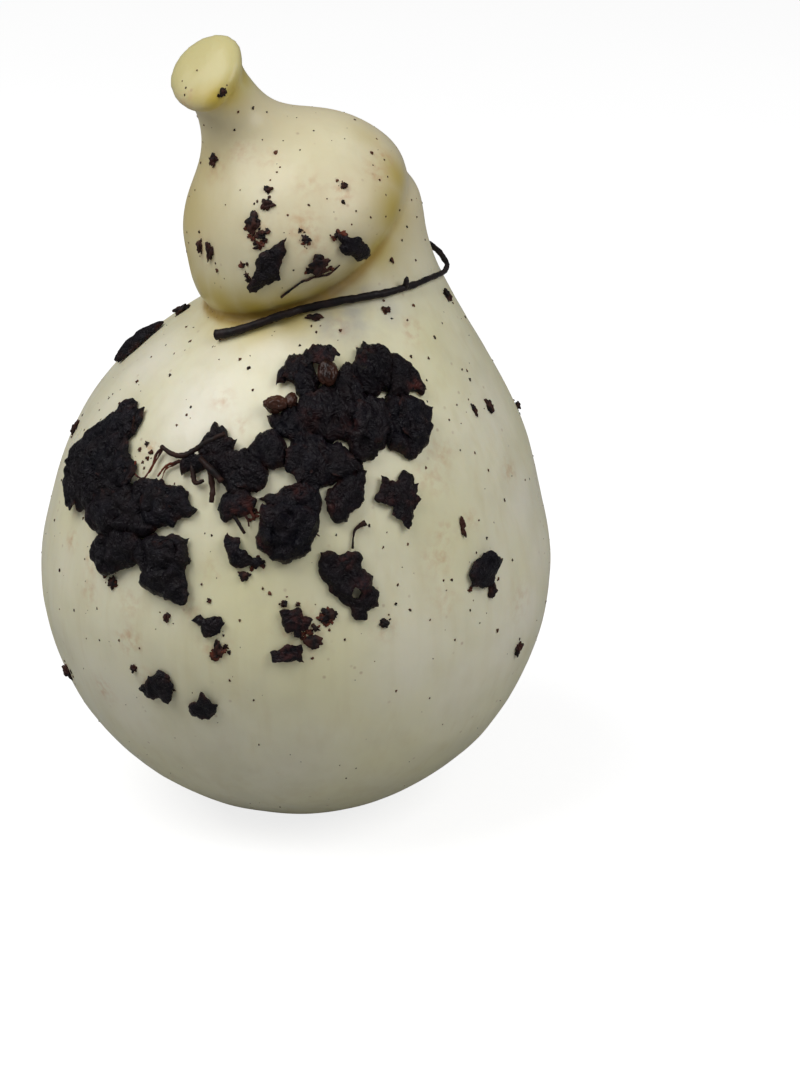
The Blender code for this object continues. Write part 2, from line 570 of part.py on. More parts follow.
def heap_extras(tree, collection):
    """Berries and bare stems of the right heap."""
    extras = []
    for index, spot in enumerate(BERRIES):
        extras.append(lump(f"berry_{index}", spot, spot[4] + 1.2, tree, collection, rings=2))
    for index, stem in enumerate(STEMS):
        spots = []
        for degrees, height, radius in stem:
            point, normal = on_rind(tree, degrees, height)
            spots.append((point + normal * (radius + 0.6) * MM, radius))
        extras.append(stick(f"stem_{index}", spots, collection, 0))
    return extras


def back_heap():
    moved = []
    for index in BACK_HEAP:
        form = RIGHT_HEAP[index]
        outline = tuple((degrees + BACK_TURN, height + BACK_DROP) for degrees, height in form.outline)
        moved.append(form._replace(outline=outline))
    return moved


def main():
    clear_scene()
    parts = bpy.data.collections.new("caciocavallo")
    bpy.context.scene.collection.children.link(parts)
    curd = new_material("curd", (0.80, 0.74, 0.55), 0.42)
    grape = new_material("grape_skin", (0.035, 0.018, 0.030), 0.55)
    vine = new_material("vine_wood", (0.045, 0.030, 0.026), 0.6)

    cheese = make_cheese(parts)
    cut_foot(cheese)
    tree = surface(cheese)
    nodes = [make_twig(tree, parts)]
    nodes[0].data.materials.append(vine)
    skins = [
        make_heap("pomace_left", LEFT_HEAP, tree, parts),
        make_heap("pomace_right", RIGHT_HEAP, tree, parts, heap_extras(tree, parts)),
        make_heap("pomace_back", back_heap(), tree, parts),
    ]
    for name, form in FLAKES.items():
        skins.append(skin(name, form, tree, parts, FLAKE_SPACING))
    for name, form in HEAD_FLAKES.items():
        skins.append(skin(name, form, tree, parts, FLAKE_SPACING, HEAD_AXIS, HEAD_R))
    for node in skins:
        node.data.materials.append(grape)
    cheese = add_crumbs(cheese, tree, parts)
    cheese.data.materials.append(curd)


if __name__ == "__main__":
    main()
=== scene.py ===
"""A caciocavallo of the drunken kind, as it looks: an ivory pear of stretched curd with stains
and specks, crumpled grape skins stuck on its rind and a vine twig round its neck.

The file is laid out as an add-on with one operator for each group of pieces. Millimetres are
written as numbers and turned to metres by MM. The origin is the centre of the flat foot, +Z is
up and the front is -Y.
"""

import math
import random
from collections import namedtuple

import bmesh
import bpy
import numpy as np
from bpy.props import FloatProperty, FloatVectorProperty, IntProperty, PointerProperty
from bpy.types import Operator, Panel, PropertyGroup
from mathutils import Matrix, Vector, geometry, noise
from mathutils.bvhtree import BVHTree


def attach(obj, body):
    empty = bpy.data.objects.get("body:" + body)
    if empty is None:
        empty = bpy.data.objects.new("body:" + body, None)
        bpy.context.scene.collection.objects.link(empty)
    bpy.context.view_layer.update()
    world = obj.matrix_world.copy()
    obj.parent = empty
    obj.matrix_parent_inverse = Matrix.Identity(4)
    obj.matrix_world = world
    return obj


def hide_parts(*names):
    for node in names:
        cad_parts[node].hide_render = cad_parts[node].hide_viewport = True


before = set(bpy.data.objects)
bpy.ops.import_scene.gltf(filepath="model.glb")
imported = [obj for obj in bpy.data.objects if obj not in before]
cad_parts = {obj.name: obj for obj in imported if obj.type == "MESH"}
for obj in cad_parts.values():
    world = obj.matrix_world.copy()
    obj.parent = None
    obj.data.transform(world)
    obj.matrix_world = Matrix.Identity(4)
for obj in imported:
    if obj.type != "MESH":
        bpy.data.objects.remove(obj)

bl_info = {
    "name": "Caciocavallo",
    "version": (1, 0, 0),
    "blender": (4, 5, 0),
    "location": "3D View > Sidebar > Caciocavallo",
    "description": "Makes a drunken caciocavallo with its grape skins and its twig",
    "category": "Object",
}

MM = 0.001

# The camera: how far it looks down, its lens, and where it aims from the belly's centre.
VIEW_DOWN = math.radians(22.0)
LENS = 100.0
SENSOR = 36.0
VIEW_BACK = 909.17
AIM_RIGHT = 31.2
AIM_UP = 4.35

# Body: a round belly on a small flat foot, tapering to the tied neck.
BELLY_R = 75.5
FOOT_R = 17.0
BELLY_Z = math.sqrt(BELLY_R**2 - FOOT_R**2)
BELLY_CAGE_R = BELLY_R * 1.038
HEAD_R = 34.0
# The upright lines that angles are taken round: through the belly and through the head.
BODY_AXIS = (0.0, 0.0)
HEAD_AXIS = (1.0, -3.0)

# One ring of a cage: centre, radius, how far its plane leans to the left and to the front,
# and for one that isn't round the turn of its first corner and each corner's share of the radius.
Ring = namedtuple("Ring", "x y z radius left front turn shape", defaults=(0.0, 0.0, 0.0, ()))
CAP_SHAPE = (0.94, 0.92, 0.91, 1.04, 0.82, 0.85, 1.09, 1.03)

# Rings above the belly, up to the neck's end inside the head.
SHOULDER_RINGS = (
    Ring(0.5, 0.0, BELLY_Z + 22.0, 72.8),
    Ring(1.1, 0.0, BELLY_Z + 46.0, 66.2),
    Ring(3.8, 0.0, BELLY_Z + 66.0, 52.3),
    Ring(11.0, 0.0, BELLY_Z + 82.0, 36.0),
    Ring(13.5, 1.0, BELLY_Z + 91.0, 27.3, 4, 2),
    Ring(13.8, 2.0, BELLY_Z + 100.0, 24.8, 12, 4),
    Ring(14.7, 2.0, BELLY_Z + 108.0, 24.7, 22, 6),
    Ring(10.0, 0.0, BELLY_Z + 117.0, 15.0, 27, 6),
)
# The head hangs over the shoulder on the left; its stem ends in a flared cap.
HEAD_RINGS = (
    Ring(11.0, -0.5, BELLY_Z + 86.0, 9.0, 27, 6),
    Ring(3.6, -1.5, BELLY_Z + 93.1, 29.4, 27, 6),
    Ring(3.2, -2.4, BELLY_Z + 103.1, 35.7, 27, 6),
    Ring(0.5, -3.4, BELLY_Z + 111.6, 34.5, 27, 6),
    Ring(-3.6, -4.2, BELLY_Z + 118.5, 31.4, 27, 6),
    Ring(-7.3, -5.0, BELLY_Z + 125.6, 25.1, 27, 6),
    Ring(-11.2, -5.8, BELLY_Z + 131.3, 15.8, 27, 6),
    Ring(-15.4, -6.5, BELLY_Z + 137.0, 10.4, 27, 6),
    Ring(-18.7, -10.5, BELLY_Z + 145.5, 8.6, 29, 22),
    Ring(-21.0, -14.0, BELLY_Z + 149.4, 9.8, 30, 38, 30, CAP_SHAPE),
    Ring(-21.8, -15.3, BELLY_Z + 151.0, 12.4, 30, 38, 30, CAP_SHAPE),
    Ring(-23.0, -17.2, BELLY_Z + 152.9, 11.6, 30, 38, 30, CAP_SHAPE),
    Ring(-23.4, -17.9, BELLY_Z + 153.5, 5.6, 30, 38, 30, CAP_SHAPE),
)
BODY_SEGMENTS = 12
HEAD_SEGMENTS = 8
SMOOTHING = 4
# Where head and shoulder run into each other: from where to where it fades in, to the right and
# upward, and where it fades out above.
BLEND_RIGHT = (20.0, 36.0)
BLEND_BELOW = (150.0, 162.0)
BLEND_ABOVE = (196.0, 208.0)
BLEND_ROUNDS = 18
# The rind's soft waves: their sizes, how high the short ones are against the long ones, and the
# heights over which they begin above the foot.
LONG_WAVES = 38.0
SHORT_WAVES = 9.0
SHORT_SHARE = 0.2
WAVES_FROM = (1.0, 9.0)
# Heights over which the head's and the cap's colour begin, the hollow depths over which the painted shade
# in creases fades in, and the smoothing rounds that the hollows are measured against.
HEAD_FROM = (158.0, 185.0)
CAP_FROM = (216.0, 224.0)
CREASE_SHADE_DEPTH = (0.06, 0.6)
CREASE_SHADE_ROUNDS = 12

# The twig: degrees round the neck, height, clearance from the rind, and its own radius.
TWIG = (
    (-36.6, 151.9, 0.4, 1.76), (-28.2, 153.5, 0.4, 1.56), (-19.3, 155.3, 0.4, 1.48),
    (-11, 157.1, 0.5, 1.44), (-1, 158.5, 1.6, 1.44), (9.8, 160.8, 0.5, 1.4), (21, 162.2, 0.4, 1.4),
    (31, 163.3, 0.4, 1.36), (40.7, 164, 0.4, 1.32), (48.7, 164.4, 0.4, 1.28), (56.7, 164.8, 0.4, 1.2),
    (64, 165, 0.4, 1.12), (72, 165.1, 0.4, 1.04), (81, 164.4, 0.5, 0.96), (90, 163.4, 0.8, 0.92),
    (96, 163.6, 1.5, 0.96), (100, 165.4, 1.4, 1.04), (105, 166.8, 0.9, 1.12), (115, 167.2, 0.5, 1.2),
    (128, 166.4, 0.7, 1.28), (141, 165, 0.9, 1.44),
)
BUD_AT = 10
BUD_LENGTH = 3.4

# A grape skin: its outline as degrees round the cheese and height, then how thick it is,
# how much it domes, how far it waves off the rind, its clearance at the edge, the height of
# ring-shaped wrinkles and the holes in it as degrees, height and radius.
Skin = namedtuple(
    "Skin", "outline thick dome wave lift rings holes", defaults=(1.6, 2.0, 0.0, 0.35, 0.0, ())
)

# The noise of the skins' folds starts from this number, so they crumple alike each time.
FOLD_SEED = 7

LEFT_HEAP = (
    Skin((
        (-57, 113), (-52, 117.5), (-41.5, 116.5), (-35.5, 114), (-31, 107), (-34, 104), (-41, 101.5),
        (-47, 100.5), (-50, 101), (-54, 104.5), (-56.5, 108)
    ), 1.6, 3.4),
    Skin((
        (-55.5, 134.5), (-48.5, 134), (-47.5, 132), (-47.5, 127.5), (-49.5, 124.5), (-54.5, 121),
        (-62.5, 118.5), (-70, 117.5), (-68, 121), (-64, 125.5), (-59, 129.5), (-57.5, 133)
    ), 1.4, 2, lift=0.6),
    Skin((
        (-71, 116.5), (-64.5, 122), (-56, 125.5), (-47, 125), (-42.5, 122), (-41, 118.5),
        (-42.5, 114.5), (-47.5, 110), (-54, 107), (-57.5, 103.5), (-60, 105), (-62.5, 103),
        (-66.5, 107), (-68.5, 113)
    ), 1.5, 2.6, lift=0.85),
    Skin((
        (-41, 117), (-34.5, 119.5), (-30, 118.5), (-24.5, 118), (-24, 116), (-21.5, 114), (-26, 110.5),
        (-26.5, 108.5), (-30.5, 107.5), (-36, 108.5), (-41.5, 111.5)
    ), 1.4, 2.2, lift=0.6),
    Skin((
        (-47.5, 100.5), (-48.5, 96.5), (-48, 93.5), (-45.5, 91.5), (-41, 92), (-37, 95), (-35, 97.5),
        (-34, 101), (-36, 105), (-41.5, 105)
    ), 1.6, 3, lift=0.85),
    Skin((
        (-31, 106), (-26.5, 107), (-22.5, 106.5), (-22.5, 103), (-21.5, 100.5), (-22.5, 99),
        (-21.5, 94.5), (-21.5, 89), (-23, 88.5), (-27.5, 89.5), (-31.5, 90.5), (-33.5, 92), (-33, 95),
        (-36, 97.5), (-36, 101.5), (-33.5, 104.5)
    ), 1.6, 3, lift=0.6),
)
RIGHT_HEAP = (
    Skin((
        (1.5, 133), (9, 134), (12, 131), (14.5, 131.5), (17.5, 128.5), (19.5, 126), (19.5, 123),
        (15, 122), (11.5, 121.5), (8, 120.5), (8.5, 117.5), (7.5, 114), (3, 113.5), (-1, 115),
        (-4.5, 116.5), (-7.5, 118.5), (-2.5, 119.5), (-0.5, 121.5), (2.5, 120.5), (2.5, 123),
        (-0.5, 126), (-1, 128.5), (1, 129.5)
    ), 1.5, 2.2),
    Skin((
        (4.1, 141.6), (10.2, 143.8), (14.6, 144.6), (16.5, 146.6), (19.3, 148.5), (22.6, 148.9),
        (23.5, 146.1), (24.5, 142), (28.5, 140), (29.5, 136.5), (27.5, 132), (26.5, 129), (22.5, 126.5),
        (19, 125.5), (17, 128), (16.5, 131.5), (13.5, 132), (11, 131), (8.5, 133), (3.5, 133),
        (1, 136.5)
    ), 1.6, 3, lift=0.6),
    Skin((
        (13.5, 153.5), (17, 152), (15, 151), (10, 150), (9.5, 148.5), (11.5, 146), (10, 142.5),
        (6, 140.5), (3, 142.5), (2.5, 144.5), (0, 145.5), (-3.5, 144), (-3, 147.5), (-0.5, 149.5),
        (4, 151), (8, 152.5)
    ), 1.4, 1.8, lift=0.85),
    Skin((
        (29.5, 154), (33, 152.5), (35.5, 151.5), (36.5, 149), (33.5, 145), (32, 142), (28, 141),
        (23.5, 141.5), (21.5, 144), (20.5, 146.5), (24, 149.5), (26, 152.5)
    ), 1.6, 4.4, lift=0.85, rings=0.28),
    Skin((
        (36, 150.5), (41, 149), (43.5, 146), (44.5, 142.5), (45, 140.5), (42.5, 139.5), (39, 141),
        (35, 140), (31, 141), (32.5, 146)
    ), 1.4, 2.2, lift=0.6),
    Skin((
        (31.5, 141.5), (38, 140.5), (41, 138.5), (43.5, 136), (41.5, 132.5), (41.5, 131), (38.5, 127.5),
        (35.5, 126), (32.5, 125), (31, 126), (28, 128), (26, 130.5), (26, 135), (27, 139)
    ), 1.6, 3.4),
    Skin((
        (-6, 137.5), (-1, 139), (4.5, 141), (7.5, 137), (6, 132), (1, 132), (-2.5, 133.5), (-4.5, 135)
    ), 1.4, 2.2, lift=0.85),
    Skin((
        (-8.5, 132.5), (-6, 134), (-2.5, 134), (0, 131.5), (0, 129), (-0.5, 126), (-3, 125), (-6, 126),
        (-9, 127.5), (-10.5, 129.5)
    ), 1.6, 3.2, lift=0.6),
    Skin((
        (12, 121.5), (16, 124), (20, 124), (18.5, 117), (15.5, 114.5), (14, 112), (11, 112), (9.5, 115),
        (9, 118), (10, 120.5)
    ), 1.4, 2.4, lift=0.85),
    Skin((
        (-5.5, 117), (-0.5, 118), (4, 117), (7.5, 115), (7.5, 111), (6, 107.5), (5.5, 105), (3, 103),
        (0, 101.5), (-3, 102.5), (-5, 104.5), (-6.5, 105.5), (-7, 108.5), (-6, 112.5)
    ), 1.6, 4.4, lift=0.85, rings=0.2),
    Skin((
        (-21.5, 135), (-18, 134), (-13.5, 131.5), (-14, 129), (-16.5, 127), (-19.5, 126),
        (-22.5, 126.5), (-24.5, 128.5), (-23.5, 131.5), (-22, 132.5)
    ), 1.4, 1.8, lift=0.85),
    Skin((
        (-27.5, 125.5), (-23, 127.5), (-17.5, 129), (-12.5, 129), (-6, 128.5), (-4.5, 125),
        (-5.5, 120.5), (-9, 119.5), (-11.5, 118), (-14, 119), (-17, 121.5), (-21.5, 124),
        (-25.5, 122.5), (-27.5, 121.5), (-28.5, 124)
    ), 1.6, 2.6),
    Skin((
        (-13.5, 120.5), (-9.5, 120.5), (-7, 118), (-8.5, 114.5), (-11, 113), (-14, 111.5),
        (-16.5, 114.5), (-16, 116.5)
    ), 1.4, 2.2, lift=0.6),
)
# Thin torn layers that lie over the skins of each heap.
LEFT_LAYERS = (
    Skin((
        (-53.7, 108.5), (-48.6, 112.9), (-41.7, 112.7), (-38.6, 108.7), (-42.8, 104.2), (-49.6, 104.3)
    ), 0.6, 1.9, 0.3, 2.9),
    Skin((
        (-62.3, 117.8), (-55.2, 122.8), (-46.4, 122.6), (-43.3, 118.7), (-48.6, 114.5), (-57.6, 113.8)
    ), 0.6, 2, 0.3, 2.4),
    Skin((
        (-64.1, 108), (-59.8, 108.6), (-57.5, 106), (-59.2, 103.1), (-62.6, 103.4), (-64.5, 105.6)
    ), 0.5, 0.8, 0.6, 2),
    Skin((
        (-36.2, 116.7), (-30.1, 117), (-26.7, 114.5), (-29.2, 110.4), (-35.2, 110.6)
    ), 0.6, 1.6, 0.3, 2.4),
    Skin((
        (-30.5, 104.2), (-25.8, 105.2), (-23.9, 101.8), (-25, 97.3), (-29.6, 97.4), (-31.7, 100.7)
    ), 0.6, 1.8, 0.3, 2.9, rings=0.2),
    Skin((
        (-58.7, 126.1), (-55.9, 131), (-51.3, 133.6), (-47.5, 130.4), (-49, 126), (-54.3, 123)
    ), 0.5, 1.6, 0.3, 1.6),
)
RIGHT_LAYERS = (
    Skin((
        (20.1, 140.3), (24.9, 141.3), (28.9, 140), (29.5, 136.5), (27.3, 131.9), (23.2, 130),
        (19.2, 132.3), (18.4, 136.2)
    ), 0.6, 2, 0.3, 2.9),
    Skin((
        (4.1, 141.2), (10, 142.9), (14.9, 141.9), (15.4, 138.7), (11.4, 136.1), (6.1, 135.7),
        (3.3, 138.5)
    ), 0.6, 1.8, 0.3, 2.6),
    Skin((
        (16.8, 146.4), (20.5, 148), (22, 145.7), (23.8, 141.9), (20.2, 140.7), (16.9, 142.3),
        (15.5, 144.2)
    ), 0.6, 1.6, 0.3, 2.2),
    Skin((
        (8.6, 132), (13.5, 131.3), (16.7, 127.7), (17.8, 124.7), (13.5, 123.1), (9.6, 125.3),
        (7.3, 128.7)
    ), 0.6, 1.8, 0.3, 2.2),
    Skin((
        (-0.6, 120.5), (3.4, 122), (7.2, 120), (7.5, 115.9), (3.2, 115), (-0.6, 116.5)
    ), 0.6, 1.4, 0.3, 2.2),
    Skin((
        (-0.2, 129.7), (3.6, 131.1), (6.7, 128.2), (6.5, 124.4), (2.9, 122), (-0.1, 124.9)
    ), 0.6, 1.6, 0.3, 2),
    Skin((
        (33.9, 139.4), (38.5, 138.7), (40.4, 135.9), (39, 131.6), (34.9, 129.3), (31.3, 131.4),
        (30.9, 135.4)
    ), 0.6, 1.8, 0.3, 2.8, rings=0.2),
    Skin((
        (-13.6, 127.6), (-9.2, 127), (-7.3, 124.2), (-8.1, 121.3), (-11.6, 120.5), (-14.6, 123.2)
    ), 0.6, 1.6, 0.3, 2.2),
    Skin((
        (-1.2, 145.6), (2.6, 148.9), (7.6, 151), (12.8, 152.4), (17.2, 152.3), (19.4, 150.5),
        (16.7, 149), (12.2, 148.4), (8.7, 148.8), (5.1, 147.4), (1, 145)
    ), 0.9, 0.9, 0.3, 2.4),
)
# Rusty marks on the skins: degrees, height, size and strength.
RUST_MARKS = (
    (27.7, 149.7, 1.9, 1), (13, 150, 1.8, 1), (40.6, 141.8, 2.2, 0.9), (-8.9, 145.5, 2, 0.8),
    (16.3, 94.5, 2.6, 0.45), (-8.2, 114.7, 3.2, 0.8), (13.1, 101.9, 2, 0.5), (30.4, 115.2, 2.2, 0.35),
    (24.8, 116.2, 2, 0.3), (-30.3, 126.9, 2.5, 0.4), (-12.1, 114.5, 2, 0.5), (-52, 103.4, 2.6, 0.6),
    (-5.5, 106.3, 2.2, 0.6), (2.8, 87.1, 3, 0.5), (0.6, 77.8, 3, 0.4), (29, 127, 2.4, 0.35),
    (20.4, 152.1, 1.6, 0.3), (6.8, 137.1, 2.6, 0.35), (16.5, 134.4, 3, 0.25), (3.3, 120.1, 2, 0.5),
    (21.4, 121.3, 2.4, 0.3), (10.7, 116.5, 2, 0.3),
)
# Grape berries and seeds in the right heap: degrees, height, half sizes across, up and out.
BERRIES = (
    (13.5, 146.5, 2.7, 3.8, 2.4), (-3, 139.5, 3.4, 2.5, 2.2), (1.5, 140.5, 1.9, 2.2, 1.9),
)
# Bare stems curling out of the heaps and over the belly: how far they clear the rind, then
# degrees, height and radius along each.
STEMS = (
    (1.8, (
        (-17, 132.4, 0.8), (-21.3, 130.1, 0.85), (-24.3, 127.9, 0.85), (-27.6, 125.9, 0.8),
        (-31.1, 125.8, 0.7), (-35, 126.8, 0.6)
    )),
    (1.2, ((-25.5, 126, 0.8), (-23.9, 122.6, 0.7), (-22.8, 120.3, 0.7), (-20.7, 121.1, 0.5))),
    (1.2, ((-19.5, 124.2, 0.9), (-18, 119.4, 0.8), (-17.8, 116.1, 0.8))),
    (1, ((-13, 114.5, 0.6), (-11.5, 112.5, 0.5), (-9.4, 109.2, 0.4))),
    (0.6, (
        (18.2, 111.4, 0.9), (17, 110.8, 0.7), (15.6, 109.6, 0.35), (15, 107, 0.3), (14.8, 104.9, 0.3)
    )),
    (3.2, ((-21.8, 125.8, 0.8), (-17.9, 123.3, 0.95), (-15.3, 121.2, 0.8))),
)
HAIRS = (
    (1.3, ((-34.6, 126.8, 0.5), (-36.2, 125.1, 0.4), (-36.4, 121.8, 0.3), (-37.6, 118.8, 0.25))),
    (1.2, ((-35, 126.4, 0.32), (-35.7, 124, 0.25), (-36.8, 120.2, 0.2))),
    (1.2, ((-27.3, 125, 0.6), (-30.2, 123.9, 0.42), (-32.5, 122.6, 0.32), (-34, 119.8, 0.25))),
    (1, ((-28.7, 124.8, 0.4), (-30.2, 123.5, 0.26), (-32.3, 122.1, 0.22), (-32.7, 119.5, 0.2))),
    (1, ((-42.4, 122, 0.32), (-41.9, 119.5, 0.28), (-39.6, 118.5, 0.25), (-36.1, 118.6, 0.22))),
    (0.8, ((5, 111.2, 0.22), (5.7, 110.3, 0.2), (7.5, 108.7, 0.16))),
    (0.8, ((-8.8, 116.5, 0.5), (-8.2, 114.7, 0.42), (-7.2, 113.3, 0.35))),
    (0.6, ((-10.2, 114.4, 0.35), (-9, 112.9, 0.3), (-8.6, 111, 0.22))),
)
HEAD_STEM = (
    (-5.3, 166.8, 0.35), (4.4, 171.5, 0.3), (7.7, 172.3, 0.35), (11.1, 173.1, 0.3), (18.2, 173.5, 0.3),
    (23.5, 175.9, 0.22),
)

# Single skins on the belly and shoulder.
FLAKES = {
    "skin_star": Skin((
        (23.5, 122.5), (25.5, 121), (27, 120.5), (30, 123), (32, 121.5), (32, 119), (33, 119),
        (31.5, 116.5), (32.5, 115), (30.5, 112.5), (28, 108), (27, 110.5), (24.5, 112.5), (25.5, 114.5),
        (23, 115.5), (21, 117), (22.5, 119)
    ), 1, 1, 0.9),
    "skin_pair": Skin((
        (7.5, 104.5), (10.5, 104.5), (12, 103.5), (13.5, 104.5), (16, 104), (17, 102), (16.5, 99.5),
        (19, 97), (18.5, 94.5), (20, 92.5), (19.5, 88.5), (17, 87.5), (17, 85.5), (14.5, 85.5),
        (13.5, 89), (11, 92), (9, 94), (7.5, 97.5), (7, 102)
    ), 1.2, 1.6, 0.5, holes=((14.8, 93.1, 1.3),)),
    "skin_right": Skin((
        (49.5, 96), (50.5, 94), (53.5, 92), (52, 90), (50, 87.5), (48.5, 86), (46, 86.5), (42.5, 88),
        (43, 89.5), (42.5, 92), (43.5, 93.5), (45.5, 95), (47.5, 96)
    ), 1.2, 1.4, 0.6),
    "skin_hook": Skin((
        (-13.5, 109), (-12, 108), (-10.5, 108), (-10.5, 105.5), (-9, 105), (-7.5, 103), (-5.5, 103),
        (-5, 101.5), (-6.5, 100), (-7.5, 101), (-10, 100), (-12, 100.5), (-13, 102.5), (-13.5, 105),
        (-14, 107.5)
    ), 1.1, 1.2, 0.4),
    "skin_low": Skin((
        (-1.5, 89), (1.5, 89.5), (2.5, 90), (3.5, 87.5), (5.5, 86.5), (4.5, 84), (3, 83.5), (3, 81.5),
        (1.5, 82), (1.5, 83.5), (0, 83), (-0.5, 84.5), (-1, 86.5)
    ), 1, 1, 0.4),
    "skin_square": Skin((
        (-3.5, 77.5), (-2, 78), (0, 80), (3, 80), (3.5, 74.5), (0, 75), (-3, 75)
    ), 1, 0.4, 0.4),
    "skin_small": Skin((
        (-20.5, 84.5), (-18.5, 86.5), (-17.5, 85.5), (-15.5, 86.5), (-14, 86.5), (-13, 85), (-14, 82),
        (-15.5, 81), (-17.5, 80.5), (-18, 83.5), (-19.5, 84)
    ), 1, 1, 0.4),
    "skin_left_low": Skin((
        (-31, 65.5), (-28.5, 68), (-26, 67), (-25, 64), (-25.5, 60.5), (-26.5, 58), (-28.5, 59),
        (-32, 58.5), (-34, 60.5), (-32, 62.5)
    ), 1.2, 1.2, 0.5),
    "skin_under": Skin((
        (-18.5, 64), (-16.5, 61), (-15, 60), (-16, 56.5), (-19, 54.5), (-21.5, 55.5), (-22, 58),
        (-20, 60)
    ), 1, 1, 0.5),
    "skin_shoulder": Skin((
        (-99, 145.5), (-93, 146.5), (-90, 143), (-89, 139), (-90, 135.5), (-94, 134.5), (-98, 138),
        (-100, 142)
    ), 1.2, 1.8, 0.3),
    "skin_back_high": Skin((
        (150, 146), (158, 147), (163, 142), (160, 137), (153, 136), (148, 140)
    ), 1.2, 1.6, 0.6),
    "skin_back_low": Skin((
        (208, 84), (215, 86), (219, 81), (216, 75), (209, 74), (205, 79)
    ), 1.2, 1.4, 0.5),
    "skin_back_right": Skin((
        (112, 101), (118, 103), (122, 98), (119, 91), (113, 92), (110, 96)
    ), 1.1, 1.2, 0.5),
}
HEAD_FLAKES = {
    "skin_leaf": Skin((
        (-1.5, 184.5), (-1.5, 181), (-3.5, 177.5), (-4.5, 173), (-8, 172), (-14, 170), (-19.5, 168.5),
        (-20.5, 170), (-17, 174), (-16, 177.5), (-13.5, 180), (-8.5, 181.5), (-5, 183)
    ), 1, 1.2, 0.6),
    "skin_cheek": Skin((
        (21.5, 185), (27, 184), (31, 184), (35.5, 181.5), (40, 178), (38.5, 176.5), (32.5, 176.5),
        (26, 179), (22, 181.5), (23.5, 182.5)
    ), 1.1, 1.4, 0.4),
}
# The heap on the far side is made of skins like those of the right heap, turned and lowered.
BACK_TURN = 172.0
BACK_DROP = -14.0
BACK_HEAP = (1, 3, 4, 5, 9)

# Crumbs of skin and seed on the belly: degrees, height, half sizes across, up and out.
CRUMBS = (
    (49.4, 84.9, 1.4, 2, 1.1), (5.6, 80.1, 2.1, 1.6, 0.9), (-14.5, 77, 1.1, 2.2, 0.8),
    (13, 159.4, 1.8, 0.9, 0.9), (-9.3, 98, 1.6, 1.2, 0.8), (8.7, 87.4, 2.1, 1.6, 0.9),
    (60.5, 131.7, 0.8, 1.6, 0.7), (68.5, 130.3, 1.3, 2, 0.8), (43.3, 104.9, 0.7, 2.2, 0.8),
    (20.8, 83.5, 1.4, 1.2, 0.8), (-41.8, 89.4, 1.4, 1.5, 0.8), (-26.4, 84, 0.9, 1.3, 0.7),
    (-35.2, 65.9, 0.9, 1, 0.8), (-67.1, 49.4, 1.4, 2, 1), (-98.2, 150.2, 1.6, 2.4, 1.4),
    (-84, 118, 0.9, 2, 0.9), (45.3, 160.5, 1, 0.8, 0.8), (81.5, 158.6, 1, 1.8, 0.8),
    (59.8, 61.4, 1.2, 1.8, 0.9), (-0.6, 90.9, 0.9, 0.9, 0.8), (96, 120, 1.4, 1.1, 0.9),
    (104, 70, 1, 1.6, 0.9), (128, 112, 1.6, 1.2, 0.9), (135, 84, 1.1, 1.1, 0.8),
    (152, 118, 1.2, 1.8, 0.9), (158, 70, 1.5, 1.1, 0.9), (174, 58, 1, 1.4, 0.8),
    (186, 152, 1.3, 1, 0.9), (228, 118, 1.2, 1.6, 0.9), (236, 68, 1.6, 1.2, 0.9),
    (244, 134, 1, 1.5, 0.8), (252, 96, 1.3, 1.3, 0.9),
)
HEAD_CRUMBS = (
    (-18.7, 187.6, 1.9, 2.3, 1), (-14.3, 184.6, 1.3, 1, 0.8), (-12.2, 192.5, 1.6, 1.6, 1),
    (12.8, 176.6, 2.7, 2.7, 1.1), (7.3, 184.1, 1.1, 1, 0.8), (-44.7, 177.2, 1.1, 2.8, 0.8),
    (-53.4, 177.5, 1.1, 1.5, 0.8), (-58.1, 201, 1.3, 1.4, 0.9), (-12.9, 196.3, 1.1, 0.8, 0.7),
    (29.6, 196.9, 0.8, 0.8, 0.7), (-40.6, 222.1, 1, 1.1, 0.8), (150, 190, 1.6, 1.2, 0.9),
    (205, 182, 1.3, 1.7, 0.9),
)
CRUMB_SINK = 0.35

# Painted warm shade and painted glow along the head's underside, on its sides and at the cap's lip:
# degrees round the head, height, size and strength; and on the stem's cap as places.
HEAD_PAINTED_SHADE = (
    (-60, 163, 9, 0.85), (-42, 161, 9, 1), (-22, 161, 9, 1), (-2, 163, 9, 1), (18, 167, 8, 0.9),
    (36, 171, 8, 0.75), (50, 178, 8, 0.9), (58, 187, 9, 0.95), (68, 196, 7, 0.8), (72, 206, 6, 0.3),
    (-76, 184, 16, 0.55), (-78, 170, 13, 0.7), (-74, 197, 13, 0.4), (-100, 164, 11, 0.6),
    (-125, 165, 11, 0.5), (-150, 167, 11, 0.45), (-175, 169, 11, 0.45), (160, 171, 11, 0.45),
    (-95, 178, 14, 0.35),
)
CAP_PAINTED_SHADE = (
    (-23.4, -17.9, BELLY_Z + 153.5, 15.0, 0.25), (-14.0, -22.0, BELLY_Z + 147.0, 6.0, 1.0),
    (-19.0, -25.5, BELLY_Z + 146.5, 6.0, 1.0), (-25.0, -25.5, BELLY_Z + 148.5, 5.0, 0.8),
    (-12.0, -14.0, BELLY_Z + 151.0, 4.0, 0.7),
)

